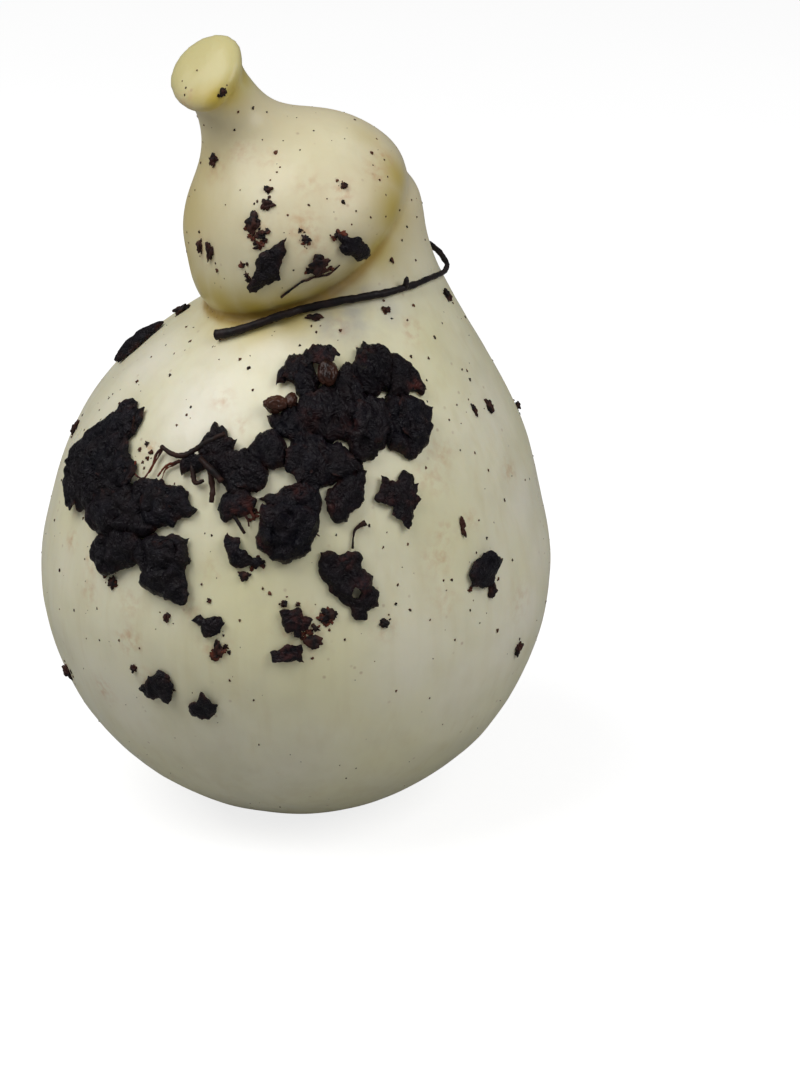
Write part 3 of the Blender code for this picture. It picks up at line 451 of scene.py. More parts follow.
# Stains on the rind: degrees, height, size and strength.
BODY_STAINS = (
    (-36, 74.4, 6, 0.6), (-47.2, 53.5, 5, 0.7), (-49.2, 93.1, 6, 0.5), (35.8, 97.6, 5, 0.5),
    (46.3, 105.6, 4, 0.5), (66.5, 112.6, 5, 0.6), (-21.2, 87, 4, 0.5), (-63.4, 104.8, 5, 0.6),
    (-21.9, 140.6, 4.5, 0.5), (-14, 135, 4.5, 0.4), (-16.6, 98.7, 5, 0.3), (-36.2, 85.6, 6, 0.4),
    (-59.6, 94.8, 4, 0.7), (42.1, 124.5, 6, 0.5), (36, 120.6, 6, 0.4), (38.7, 118.7, 6, 0.4),
    (38, 104.5, 6, 0.4), (34.9, 98.4, 7, 0.4), (-40.2, 125.5, 4, 0.8), (50.6, 154.9, 5, 0.6),
    (23.4, 157.6, 5, 0.5), (2.8, 82.9, 9, 0.5), (-15.3, 77.8, 6, 0.5), (21, 82.1, 5, 0.4),
    (35.5, 86.4, 7, 0.3), (-31.4, 63.4, 6, 0.4), (-49.2, 84.4, 5, 0.5), (59.6, 76.9, 8, 0.3),
    (31.5, 130.4, 5, 0.3),
)
HEAD_STAINS = (
    (-38.6, 204.3, 5.5, 0.5), (6.6, 187.3, 6, 0.7), (9.1, 183.2, 6, 0.6), (27.5, 195.6, 5, 0.7),
    (52.8, 198.8, 6, 0.5), (66.9, 201.2, 5, 0.5), (11.1, 197.7, 6, 0.3), (-54, 198.6, 5, 0.5),
    (-15.9, 185.3, 5.5, 0.45), (-49.1, 176.6, 6, 0.4), (-56.8, 219.1, 4, 0.5), (-16.7, 203, 5, 0.3),
)
STAIN_REACH = 0.7

# Paler and warmer stretches of the rind: degrees, height, size and strength.
PALE_SPOTS = (
    (-67.8, 142.2, 14, 0.9), (-66, 129.4, 12, 0.7), (-28.6, 137.1, 16, 0.8), (-35, 149.7, 8, 0.6),
    (-5.9, 153.1, 8, 0.7), (70.5, 102.1, 11, 0.8), (72, 84.6, 11, 0.8), (63.8, 71.6, 10, 0.8),
    (54.3, 65.2, 12, 0.7), (53.1, 88.8, 8, 0.4), (24.2, 71.9, 14, 0.5), (40.9, 56.4, 12, 0.6),
    (-61.4, 88.1, 8, 0.4), (-39.8, 49.9, 14, 0.5), (-21.6, 43.2, 14, 0.4), (2.4, 40.1, 16, 0.4),
    (72, 126.4, 11, 0.6), (-120, 95, 18, 0.6), (140, 120, 18, 0.6), (-165, 70, 18, 0.5),
    (110, 60, 16, 0.5),
)
HEAD_PALE_SPOTS = (
    (44, 206.8, 10, 0.8), (6.6, 203.3, 12, 0.7), (-20.2, 194.6, 12, 0.7), (-25.3, 179.8, 9, 0.6),
    (13.8, 185.1, 9, 0.5), (-50.8, 190.9, 7, 0.4), (160, 195, 12, 0.7),
)
WARM_SPOTS = (
    (-7.9, 91.5, 20, 0.8), (7.5, 102.4, 12, 0.6), (33.1, 114.6, 16, 0.4), (58, 152.5, 8, 0.5),
    (15.4, 79.6, 14, 0.5), (-18.9, 116.7, 12, 0.3), (-34.2, 108.7, 8, 0.3), (-145, 120, 18, 0.6),
    (165, 85, 18, 0.6), (-95, 60, 16, 0.5), (105, 110, 16, 0.5),
)
# Grey-blue marks that the twig's juice left under it.
TWIG_STAINS = (
    (25.4, 160.4, 11, 0.6), (42.2, 161.5, 7, 0.4), (15.5, 156.9, 8, 0.3), (36.5, 163.5, 7, 0.4),
)
# Rusty scraps beside the skins and specks of pomace: degrees, height and radius.
BODY_SCRAPS = (
    (-8.2, 115.3, 0.8), (-7.7, 113.8, 0.7), (-8.6, 112.7, 0.5), (-7, 114.8, 0.5), (6.1, 83.9, 0.9),
    (7.4, 86.7, 1.1), (8.7, 88.5, 0.9), (9.3, 85.9, 0.8), (8.3, 85, 0.7), (3.2, 82.3, 0.7),
    (4.4, 82.9, 0.8), (3.6, 81.2, 0.6), (5.4, 80.9, 0.7), (-6.4, 102.4, 0.8), (-5.5, 101.6, 0.9),
    (-7.7, 100.1, 0.6), (14, 116.2, 0.5), (15.2, 115.6, 0.4), (10.5, 87.5, 0.5), (2.4, 90.7, 0.6),
    (-16.8, 90.5, 0.5), (-14.9, 75.2, 1.2), (-13.8, 76.8, 0.9), (-12.9, 78.1, 0.6), (-30.4, 60.4, 0.6),
    (-29.3, 59, 0.5), (-44.1, 91.5, 1.1), (-41.9, 90.2, 0.8), (-40.9, 89.2, 0.7), (53.7, 91.5, 0.6),
    (42.9, 86.9, 0.6), (49.5, 84.1, 0.9), (-43.6, 124.8, 0.6), (-42.1, 126.6, 0.6), (-39.3, 125.2, 0.6),
    (-39.9, 123.6, 0.5), (-41.1, 122.3, 0.4),
)
HEAD_SCRAPS = (
    (-18.4, 183.3, 0.6), (-13.4, 185.2, 0.7), (-10.8, 185.6, 0.8), (-12.1, 183.4, 0.6),
    (-16.7, 182.3, 0.6), (-20.1, 184, 0.5), (-22.6, 186, 0.6), (-15.6, 181.3, 0.8), (-13.6, 182, 0.6),
    (-24.3, 175.5, 0.7), (-21.7, 172.8, 0.7), (-20.8, 171.4, 0.6), (24.1, 184.3, 1.1), (22.2, 185, 0.7),
    (26, 183, 0.8), (20.3, 184, 0.6), (8.1, 175.2, 0.7), (18.9, 175.1, 0.7), (4.6, 186.5, 0.5),
    (6.3, 183, 0.5), (-39, 219.6, 0.6), (-37.5, 221, 0.4),
)
BODY_SPECKS = (
    (80.5, 158.8, 1.2), (89.3, 150.1, 0.6), (44.3, 160.8, 1), (57.5, 160.4, 0.7), (51.2, 157.4, 0.5),
    (59.2, 151.7, 0.6), (23, 156.9, 0.6), (12.7, 156.4, 0.5), (-6.6, 157.9, 0.5), (-67.6, 150.8, 0.5),
    (-53.3, 149.4, 0.6), (-20.2, 149.2, 0.7), (-15.3, 147.7, 0.7), (-48.5, 142.2, 0.6),
    (-11.9, 143.2, 0.5), (-32.5, 135.4, 0.5), (-34.4, 132.7, 0.5), (-62.9, 137.7, 0.7),
    (-71, 132.3, 0.4), (-71.5, 131, 0.4), (-63.5, 131.9, 0.5), (45.3, 149.1, 0.6), (59.4, 151.4, 0.5),
    (51.9, 147.5, 0.6), (47.2, 142.7, 0.4), (49.2, 132, 0.4), (36.8, 122.3, 0.5), (28.2, 103.8, 0.5),
    (19.3, 110.5, 0.6), (11.4, 108.7, 0.4), (-3.6, 93.6, 0.7), (-5.2, 94.9, 0.5), (-18.9, 94.5, 0.5),
    (-17.5, 107.9, 0.4), (-45.9, 80.4, 0.4), (24.7, 93.4, 0.5), (23.8, 88.3, 0.6), (22.1, 104.2, 0.4),
    (65.6, 138.5, 0.6), (56.9, 116.1, 0.5), (60.3, 106.3, 0.6), (48.9, 104.7, 0.4), (38.2, 91.3, 0.6),
    (42.3, 81.2, 0.5), (50.7, 71.7, 0.7), (58.2, 89.6, 0.5), (73.7, 106.7, 0.4), (37.8, 73.9, 0.5),
    (31.6, 81.9, 0.4), (27, 85.9, 0.6), (12.2, 80, 0.5), (-10, 85.8, 0.5), (-24, 92, 0.4),
    (-29.8, 99, 0.4), (-12.3, 67.8, 0.5), (-25.2, 61.9, 0.6), (-38.9, 73.4, 0.5), (-45.2, 71, 0.4),
    (-54.6, 76.1, 0.5), (-63.1, 84.3, 0.6), (-73, 94.8, 0.5), (-76.5, 105.3, 0.4), (-74.1, 121.1, 0.4),
    (-72.4, 127.4, 0.4), (-35.8, 151.7, 0.4), (5.1, 153.5, 0.5), (42, 138.6, 0.3), (49.1, 124, 0.4),
    (77.6, 182.1, 0.4), (68.3, 180.7, 0.5), (56.5, 172.7, 1), (70, 170.9, 0.5), (64.1, 177.5, 0.4),
    (83.2, 174.4, 0.4), (77.7, 187, 0.4),
)
HEAD_SPECKS = (
    (-31.2, 213.8, 0.6), (-34.8, 213.7, 0.4), (-41.7, 215.5, 0.6), (-45.3, 215, 0.5), (-47, 209.9, 0.5),
    (26.6, 209, 0.4), (92, 208.9, 0.5), (48.9, 206.9, 0.3), (77.4, 204.9, 0.4), (59, 203, 0.7),
    (64.7, 200.7, 0.4), (51.9, 196.8, 0.5), (58.8, 196.9, 0.4), (52.3, 192.8, 0.4), (67, 186.4, 0.5),
    (39.7, 188.2, 0.4), (32.4, 190.5, 0.4), (9.6, 192.8, 0.5), (19, 194.2, 0.3), (26.6, 198.3, 0.7),
    (29.4, 197.4, 0.8), (26.8, 193.1, 0.8), (-7.2, 201.6, 0.4), (-8.8, 200.4, 0.4), (-7.6, 207.3, 0.3),
    (-12.5, 204.7, 0.9), (-19.8, 192.4, 0.4), (-74.5, 198.5, 0.5), (-54.9, 181.6, 0.6),
    (-40.3, 172.4, 0.9), (-21.4, 176.1, 0.7), (-20.7, 172.3, 0.6), (-71.5, 191.2, 0.3),
    (-66.4, 210.3, 0.4), (-63.5, 223.7, 0.3), (-59.5, 222.3, 0.4), (-58.3, 220.6, 0.4),
    (-59.9, 226.7, 0.4), (7.4, 205.4, 0.3), (-26.1, 207.5, 0.3), (18.5, 184.9, 0.4), (-1.1, 190.3, 0.4),
    (-30.6, 195.2, 0.3), (-38.2, 190.8, 0.3),
)
# Scraps and specks as shares of their radius: half sizes across, up and out.
SCRAP_SIZE = (1.1, 1.0, 0.6)
BODY_SPECK_SIZE = (0.62, 0.75, 0.4)
HEAD_SPECK_SIZE = (0.6, 0.7, 0.4)
# Specks strewn by chance: round which line, the least radius and how much it varies, and the
# heights from the lowest up, with a power that crowds them upward where it is below 1.
STREWN_BODY = (BODY_AXIS, 0.11, 0.24, 12.0, 146.0, 0.8)
STREWN_HEAD = (HEAD_AXIS, 0.10, 0.18, 168.0, 46.0, 1.0)
HEAD_SHARE = 6

# Colours laid over the curd and over the grape skins.
CURD_STREAK = (0.68, 0.61, 0.38)
CURD_MILKY = (0.84, 0.80, 0.67)
CURD_DULL = (0.62, 0.58, 0.40)
CURD_HEAD = (0.71, 0.62, 0.40)
CURD_CAP = (0.62, 0.575, 0.275)
# Painted warm shade and painted glow under the head and at the cap's lip.
CURD_PAINTED_SHADE = (0.53, 0.40, 0.065)
# Painted shade in the creases.
CURD_CREASE_SHADE = (0.38, 0.24, 0.04)
CURD_JUICE = (0.25, 0.26, 0.33)
CURD_PORE = (0.33, 0.17, 0.10)
SKIN_SHADE = (0.0100, 0.0045, 0.0050)
# Painted highlight on the skins' crests and creases.
SKIN_SHEEN = (0.0150, 0.0115, 0.0200)
SKIN_RUST = (0.11, 0.028, 0.022)
# Plain finishes: two tones, the scale of their patches, the least and most roughness, and the
# relief in millimetres.
FINISHES = {
    "vine_bark": ((0.008, 0.006, 0.007), (0.018, 0.011, 0.011), 260.0, (0.38, 0.66), 0.35),
    "berry": ((0.012, 0.005, 0.004), (0.055, 0.021, 0.013), 170.0, (0.16, 0.36), 0.25),
    "stems": ((0.006, 0.004, 0.004), (0.030, 0.010, 0.006), 150.0, (0.42, 0.7), 0.3),
    "hairs": ((0.130, 0.026, 0.013), (0.040, 0.012, 0.009), 150.0, (0.42, 0.7), 0.3),
    "crumb": ((0.008, 0.005, 0.006), (0.050, 0.016, 0.011), 300.0, (0.42, 0.7), 0.3),
    "rusty_scrap": ((0.014, 0.006, 0.005), (0.130, 0.032, 0.016), 420.0, (0.42, 0.7), 0.3),
    "speck": ((0.012, 0.006, 0.005), (0.120, 0.045, 0.024), 330.0, (0.5, 0.75), 0.2),
}

# The stage: floor, where the lights stand with their size, and the height that they aim at.
FLOOR_SIZE = 80.0
FLOOR_GLOW = 0.80
KEY_PLACE = (-0.75, -0.35, 1.30)
FILL_PLACE = (0.95, -0.70, 1.10)
KEY_SIZE = 1.1
FILL_SIZE = 0.9
LIGHT_AIM = 0.11

# ---- Selecting and finishing ----


def only(*objs):
    """Leave object mode's selection with just these objects, the first one active."""
    if bpy.context.object and bpy.context.object.mode != "OBJECT":
        bpy.ops.object.mode_set(mode="OBJECT")
    bpy.ops.object.select_all(action="DESELECT")
    for obj in objs:
        obj.select_set(True)
    bpy.context.view_layer.objects.active = objs[0] if objs else None


def finish_with(obj, kind, **settings):
    """Add a modifier, set it up and apply it."""
    only(obj)
    modifier = obj.modifiers.new(kind.title(), kind)
    for setting, value in settings.items():
        setattr(modifier, setting, value)
    bpy.ops.object.modifier_apply(modifier=modifier.name)


def joined(name, pieces):
    only(*pieces)
    if len(pieces) > 1:
        bpy.ops.object.join()
    piece = bpy.context.object
    piece.name = name
    piece.data.name = name
    return piece


def hand_over(piece, nodes, material, crease=None):
    """Shade a finished piece, paint it, hang it on the root and hide the parts that it stands for."""
    only(piece)
    if crease is None:
        bpy.ops.object.shade_smooth()
    else:
        bpy.ops.object.shade_smooth_by_angle(angle=math.radians(crease))
    piece.data.materials.clear()
    piece.data.materials.append(material)
    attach(piece, "root")
    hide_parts(*nodes)


def put(name, data):
    obj = bpy.data.objects.new(name, data)
    bpy.context.scene.collection.objects.link(obj)
    return obj


def put_mesh(name, bm):
    mesh = bpy.data.meshes.new(name)
    bm.to_mesh(mesh)
    bm.free()
    return put(name, mesh)


def clouds(name, size, depth):
    """A soft procedural texture for Displace."""
    texture = bpy.data.textures.new(name, "CLOUDS")
    texture.noise_scale = size * MM
    texture.noise_depth = depth
    return texture


def weigh(obj, name, weights):
    """A vertex group with a weight for each vertex."""
    group = obj.vertex_groups.new(name=name)
    for index, weight in enumerate(weights):
        if weight > 0.0:
            group.add([index], float(weight), "REPLACE")


def places(obj):
    """The vertices of an object as rows of millimetres."""
    spots = np.empty(len(obj.data.vertices) * 3)
    obj.data.vertices.foreach_get("co", spots)
    return spots.reshape(-1, 3) / MM


def paint(obj, name, values):
    """A value for each vertex that a material reads."""
    layer = obj.data.attributes.new(name, "FLOAT", "POINT")
    layer.data.foreach_set("value", np.asarray(values, dtype=np.float32))


def step(values, low, high):
    """0 below low, 1 above high and smooth between them."""
    part = np.clip((values - low) / (high - low), 0.0, 1.0)
    return part * part * (3.0 - 2.0 * part)


# ---- Places on the rind ----


class Rind:
    """The finished rind, to find places on it."""

    def __init__(self):
        mesh = bpy.data.objects["rind"].data
        corners = [vert.co for vert in mesh.vertices]
        self.tree = BVHTree.FromPolygons(corners, [face.vertices for face in mesh.polygons])

    def cast(self, degrees, height, axis):
        turn = math.radians(degrees)
        outward = Vector((math.sin(turn), -math.cos(turn), 0.0))
        start = (Vector((axis[0], axis[1], height)) + outward * 150.0) * MM
        return self.tree.ray_cast(start, -outward)[:2]

    def at(self, degrees, height, axis=BODY_AXIS, reach=1.5):
        """The point at an angle round an axis and a height, and the normal averaged round it."""
        point, normal = self.cast(degrees, height, axis)
        total = normal.copy()
        for side, rise in ((-1, 0), (1, 0), (0, -1), (0, 1)):
            near, other = self.cast(degrees + side * reach, height + rise * reach, axis)
            if near is not None and (near - point).length < 4 * reach * MM:
                total += other
        return point, total.normalized()


# ---- Nodes ----


def add_node(tree, kind, inputs=None, **settings):
    """A node whose inputs are set to a value or linked to an output socket."""
    made = tree.nodes.new(kind)
    for setting, value in settings.items():
        setattr(made, setting, value)
    for key, value in (inputs or {}).items():
        if isinstance(value, bpy.types.NodeSocket):
            tree.links.new(value, made.inputs[key])
        else:
            made.inputs[key].default_value = value
    return made


def mixed(tree, factor, under, over):
    """Two colours mixed by a mask."""
    made = tree.nodes.new("ShaderNodeMix")
    made.data_type = "RGBA"
    for index, value in ((0, factor), (6, under), (7, over)):
        if isinstance(value, bpy.types.NodeSocket):
            tree.links.new(value, made.inputs[index])
        else:
            made.inputs[index].default_value = value
    return made.outputs[2]


def times(tree, first, second):
    return add_node(tree, "ShaderNodeMath", {0: first, 1: second}, operation="MULTIPLY").outputs[0]


def spread(tree, value, low, high, start=0.0, end=1.0):
    """A value between low and high stretched to start and end."""
    inputs = {0: value, 1: low, 2: high, 3: start, 4: end}
    return add_node(tree, "ShaderNodeMapRange", inputs, clamp=True).outputs[0]


def painted(tree, name):
    return add_node(tree, "ShaderNodeAttribute", attribute_name=name).outputs["Fac"]


def grains(tree, where, scale, detail, **more):
    """Noise of a given scale at the given places."""
    inputs = {"Vector": where, "Scale": scale, "Detail": detail, **more}
    return add_node(tree, "ShaderNodeTexNoise", inputs).outputs[0]


def own_places(tree):
    return add_node(tree, "ShaderNodeTexCoord").outputs["Object"]


def new_group(name, inputs, output):
    """A node group with number inputs and one number output, and its two end nodes."""
    group = bpy.data.node_groups.new(name, "ShaderNodeTree")
    for label, default in inputs.items():
        socket = group.interface.new_socket(label, in_out="INPUT", socket_type="NodeSocketFloat")
        socket.default_value = default
    group.interface.new_socket(output, in_out="OUTPUT", socket_type="NodeSocketFloat")
    return group, group.nodes.new("NodeGroupInput").outputs, group.nodes.new("NodeGroupOutput").inputs


def mottle_group():
    """A node group: patches of a given size with softer or harder edges."""
    group = bpy.data.node_groups.get("mottle")
    if group:
        return group
    defaults = {"Scale": 40.0, "Detail": 4.0, "Low": 0.4, "High": 0.6}
    group, start, end = new_group("mottle", defaults, "Mask")
    patches = grains(group, own_places(group), start["Scale"], start["Detail"])
    group.links.new(spread(group, patches, start["Low"], start["High"]), end["Mask"])
    return group


def mottle(tree, scale, detail, low, high):
    inputs = {"Scale": scale, "Detail": detail, "Low": low, "High": high}
    return add_node(tree, "ShaderNodeGroup", inputs, node_tree=mottle_group()).outputs["Mask"]


def new_material(name):
    material = bpy.data.materials.new(name)
    material.use_nodes = True
    return material, material.node_tree, material.node_tree.nodes["Principled BSDF"]


def opaque(colour):
    return (colour[0], colour[1], colour[2], 1.0)


def washed(tree, colour, washes):
    """A colour under thin washes of others, each with its mask, strength and tone."""
    for mask, strength, tone in washes:
        colour = mixed(tree, times(tree, mask, strength), colour, opaque(tone))
    return colour


def bumped(tree, layers):
    """Bumps over each other, each with its height map, depth in millimetres and strength."""
    under = {}
    for height, depth, strength in layers:
        inputs = {"Height": height, "Distance": depth * MM, "Strength": strength, **under}
        under = {"Normal": add_node(tree, "ShaderNodeBump", inputs).outputs["Normal"]}
    return under["Normal"]


def connect(tree, shader, colour, roughness, normal):
    for name, socket in (("Base Color", colour), ("Roughness", roughness), ("Normal", normal)):
        tree.links.new(socket, shader.inputs[name])


def stretched(tree, where, scale, detail):
    """Noise drawn out along one way."""
    pull = add_node(tree, "ShaderNodeMapping", {"Vector": where, "Scale": scale})
    return grains(tree, pull.outputs[0], 1.0, detail)


def curd_material(settings):
    """Ivory curd: warm and greenish patches, painted warm shade and glow under the head and at the cap's
    lip, painted shade in creases, stains and pores.
    """
    material, tree, shader = new_material("curd_rind")
    where = own_places(tree)
    strands = stretched(tree, where, (260.0, 260.0, 22.0), 3.0)
    pores = add_node(tree, "ShaderNodeTexVoronoi", {"Vector": where, "Scale": 210.0})
    dots = spread(tree, pores.outputs["Distance"], 0.05, 0.14, 1.0, 0.0)
    stains = times(tree, painted(tree, "stain"), mottle(tree, 430.0, 6.0, 0.42, 0.72))
    juice = times(tree, painted(tree, "blue"), mottle(tree, 130.0, 5.0, 0.3, 0.7))
    colour = mixed(
        tree, mottle(tree, 22.0, 3.0, 0.40, 0.85), opaque(settings.pale), opaque(settings.warm)
    )
    washes = (
        (spread(tree, strands, 0.48, 0.72), 0.4, CURD_STREAK),
        (painted(tree, "warm"), 0.8, settings.warm),
        (painted(tree, "pale"), 0.9, CURD_MILKY),
        (mottle(tree, 75.0, 5.0, 0.45, 0.75), 0.35, CURD_DULL),
        (painted(tree, "head"), 0.8, CURD_HEAD),
        (painted(tree, "cap"), 0.8, CURD_CAP),
        # Painted warm shade and glow under the head and at the cap's lip.
        (painted(tree, "painted_shade"), 1.0, CURD_PAINTED_SHADE),
        # Painted shade in the creases.
        (painted(tree, "crease"), 0.9, CURD_CREASE_SHADE),
        (stains, 1.25, settings.stain),
        (juice, 1.0, CURD_JUICE),
        (times(tree, dots, mottle(tree, 60.0, 2.0, 0.5, 0.62)), 0.4, CURD_PORE),
    )
    roughness = spread(tree, grains(tree, where, 45.0, 5.0), 0.3, 0.7, 0.27, 0.46)
    pleats = stretched(tree, where, (95.0, 95.0, 7.0), 2.0)
    relief = ((pleats, 1.0, 0.3), (strands, 0.25, 0.25), (grains(tree, where, 650.0, 4.0), 0.12, 0.3))
    connect(tree, shader, washed(tree, colour, washes), roughness, bumped(tree, relief))
    shader.inputs["Subsurface Weight"].default_value = 0.15
    shader.inputs["Subsurface Radius"].default_value = (1.0, 0.72, 0.42)
    shader.inputs["Subsurface Scale"].default_value = 4.0 * MM
    shader.inputs["IOR"].default_value = 1.45
    return material


def wrinkles_group():
    """A node group: the height of fine creases that run and branch over a skin."""
    group = bpy.data.node_groups.get("wrinkles")
    if group:
        return group
    group, start, end = new_group("wrinkles", {"Scale": 300.0}, "Height")
    waves = grains(group, own_places(group), start["Scale"], 3.0, Distortion=1.4)
    side = add_node(group, "ShaderNodeMath", {0: waves, 1: 0.5}, operation="SUBTRACT").outputs[0]
    fold = add_node(group, "ShaderNodeMath", {0: side}, operation="ABSOLUTE").outputs[0]
    group.links.new(spread(group, fold, 0.0, 0.16, 1.0, 0.0), end["Height"])
    return group


def wrinkles(tree, scale):
    group = wrinkles_group()
    return add_node(tree, "ShaderNodeGroup", {"Scale": scale}, node_tree=group).outputs["Height"]


def skin_material(settings):
    """Grape skin: near-black leather, navy to purple, rust-brown where it is torn or thin, with a painted
    highlight on crests and creases.
    """
    material, tree, shader = new_material("skin_leather")
    where = own_places(tree)
    colour = mixed(tree, painted(tree, "tone"), opaque(settings.bloom), opaque(settings.skin))
    creases = wrinkles(tree, 190.0)
    washes = (
        (mottle(tree, 190.0, 5.0, 0.45, 0.7), 0.5, SKIN_SHADE),
        # Painted highlight on the crests of the folds and on the fine creases.
        (times(tree, painted(tree, "crest"), mottle(tree, 120.0, 3.0, 0.35, 0.65)), 0.4, SKIN_SHEEN),
        (creases, 0.12, SKIN_SHEEN),
        (times(tree, painted(tree, "edge"), mottle(tree, 330.0, 4.0, 0.48, 0.62)), 0.6, settings.torn),
        (times(tree, painted(tree, "rust"), mottle(tree, 520.0, 5.0, 0.4, 0.6)), 1.0, SKIN_RUST),
    )
    roughness = spread(tree, grains(tree, where, 240.0, 4.0), 0.3, 0.7, 0.30, 0.58)
    fine = grains(tree, where, 1400.0, 4.0)
    relief = ((creases, 0.8, 0.6), (wrinkles(tree, 420.0), 0.35, 0.7), (fine, 0.15, 0.5))
    connect(tree, shader, washed(tree, colour, washes), roughness, bumped(tree, relief))
    shader.inputs["Specular IOR Level"].default_value = 0.18
    return material


def plain_material(name, dark=None):
    """Two tones in patches with a fine relief: berries, stems, wood and crumbs."""
    tone, light, scale, (low, high), depth = FINISHES[name]
    material, tree, shader = new_material(name)
    colour = mixed(tree, mottle(tree, scale, 5.0, 0.42, 0.6), opaque(dark or tone), opaque(light))
    grain = grains(tree, own_places(tree), scale * 4.0, 5.0)
    roughness = spread(tree, grain, 0.3, 0.7, low, high)
    connect(tree, shader, colour, roughness, bumped(tree, ((grain, depth, 0.6),)))
    shader.inputs["Specular IOR Level"].default_value = 0.2
    return material


# ---- The rind ----


def belly_rings():
    """Rings of the belly's round underside, from below the foot up to the widest one."""
    rings = []
    for angle in (-76, -50, -25, 0):
        turn = math.radians(angle)
        height = BELLY_Z + BELLY_CAGE_R * math.sin(turn)
        rings.append(Ring(0.0, 0.0, height, BELLY_CAGE_R * math.cos(turn)))
    return rings


def add_ring(ring, segments, grown):
    """A circle of a cage, at its place and lean."""
    left = Matrix.Rotation(math.radians(-ring.left), 4, "Y")
    front = Matrix.Rotation(math.radians(ring.front), 4, "X")
    turn = Matrix.Rotation(math.radians(ring.turn), 4, "Z")
    bpy.ops.mesh.primitive_circle_add(
        vertices=segments,
        radius=ring.radius * MM * grown,
        location=Vector((ring.x, ring.y, ring.z)) * MM,
        rotation=(left @ front @ turn).to_euler(),
    )


def pick_rings(obj, first, last, segments):
    """Select the circles from first to last in edit mode."""
    bm = bmesh.from_edit_mesh(obj.data)
    for index, vert in enumerate(bm.verts):
        vert.select_set(first * segments <= index < (last + 1) * segments)
    bm.select_flush_mode()
    bmesh.update_edit_mesh(obj.data)


def cage(name, rings, segments):
    """A closed cage through the rings, rounded by Subdivision Surface."""
    grown = 3 / (2 + math.cos(2 * math.pi / segments))
    only()
    add_ring(rings[0], segments, grown)
    obj = bpy.context.object
    obj.name = name
    bpy.ops.object.transform_apply(location=True, rotation=True, scale=True)
    bpy.ops.object.mode_set(mode="EDIT")
    for index, ring in enumerate(rings[1:]):
        add_ring(ring, segments, grown)
        bm = bmesh.from_edit_mesh(obj.data)
        for vert, share in zip(list(bm.verts)[-segments:], ring.shape):
            vert.co = (Vector((ring.x, ring.y, ring.z)) * MM).lerp(vert.co, share)
        pick_rings(obj, index, index + 1, segments)
        bpy.ops.mesh.bridge_edge_loops()
    for end in (0, len(rings) - 1):
        pick_rings(obj, end, end, segments)
        bpy.ops.mesh.edge_face_add()
    bpy.ops.mesh.select_all(action="SELECT")
    bpy.ops.mesh.normals_make_consistent(inside=False)
    bpy.ops.object.mode_set(mode="OBJECT")
    finish_with(obj, "SUBSURF", levels=SMOOTHING, render_levels=SMOOTHING)
    return obj


def cut_foot(obj):
    """Flatten the underside to the foot it rests on."""
    only(obj)
    bpy.ops.object.mode_set(mode="EDIT")
    bpy.ops.mesh.select_all(action="SELECT")
    bpy.ops.mesh.bisect(plane_co=(0, 0, 0), plane_no=(0, 0, 1), use_fill=True, clear_inner=True)
    bpy.ops.object.mode_set(mode="OBJECT")


def near(spots, centres, sizes, strengths):
    """How strongly a set of soft round marks shows at each spot."""
    shown = np.zeros(len(spots))
    for centre, size, strength in zip(centres, sizes, strengths):
        gap = np.linalg.norm(spots - np.array(centre), axis=1)
        shown = np.maximum(shown, strength * np.exp(-((gap / size) ** 2)))
    return shown


def marks(rind, rows, axis=BODY_AXIS, reach=1.0, rise=0.0):
    """Marks given round an axis as centres above the rind, sizes and strengths."""
    centres = []
    for row in rows:
        point, normal = rind.at(row[0], row[1], axis)
        centres.append(tuple(point / MM + normal * rise))
    return centres, [row[2] * reach for row in rows], [row[3] for row in rows]


def hollows(obj, rounds):
    """How far each vertex lies below the smoothed surface, in millimetres."""
    ends = np.empty(len(obj.data.edges) * 2, int)
    obj.data.edges.foreach_get("vertices", ends)
    ends = ends.reshape(-1, 2)
    normals = np.empty(len(obj.data.vertices) * 3)
    obj.data.vertices.foreach_get("normal", normals)
    spots = places(obj)
    count = np.bincount(ends.ravel(), minlength=len(spots))[:, None]
    smooth = spots.copy()
    for _ in range(rounds):
        total = np.zeros_like(smooth)
        for axis in range(3):
            total[:, axis] += np.bincount(ends[:, 0], smooth[ends[:, 1], axis], len(spots))
            total[:, axis] += np.bincount(ends[:, 1], smooth[ends[:, 0], axis], len(spots))
        smooth = total / count
    return ((smooth - spots) * normals.reshape(-1, 3)).sum(axis=1)


def paint_rind(body):
    """Where the rind is stained, milky or warm, and where painted shade falls under the head, at the cap's
    lip and in creases, as values for its material.
    """
    rind = Rind()
    spots = places(body)
    stain = near(spots, *marks(rind, BODY_STAINS, reach=STAIN_REACH))
    stain = np.maximum(stain, near(spots, *marks(rind, HEAD_STAINS, HEAD_AXIS, STAIN_REACH)))
    paint(body, "stain", stain)
    # Painted warm shade and glow under the head's rim, on its sides and at the cap's lip.
    painted_shade = near(spots, *marks(rind, HEAD_PAINTED_SHADE, HEAD_AXIS))
    painted_shade = np.maximum(painted_shade, near(spots, *zip(*[(row[:3], row[3], row[4]) for row in CAP_PAINTED_SHADE])))
    paint(body, "painted_shade", painted_shade)
    pale = near(spots, *marks(rind, HEAD_PALE_SPOTS, HEAD_AXIS))
    paint(body, "head", step(spots[:, 2], *HEAD_FROM) * (1.0 - 0.6 * pale))
    paint(body, "cap", step(spots[:, 2], *CAP_FROM))
    # Painted shade in the creases, strongest where the rind lies deepest below its smoothed form.
    paint(body, "crease", step(hollows(body, CREASE_SHADE_ROUNDS), *CREASE_SHADE_DEPTH))
    for name, rows in (("blue", TWIG_STAINS), ("pale", PALE_SPOTS), ("warm", WARM_SPOTS)):
        paint(body, name, near(spots, *marks(rind, rows)))


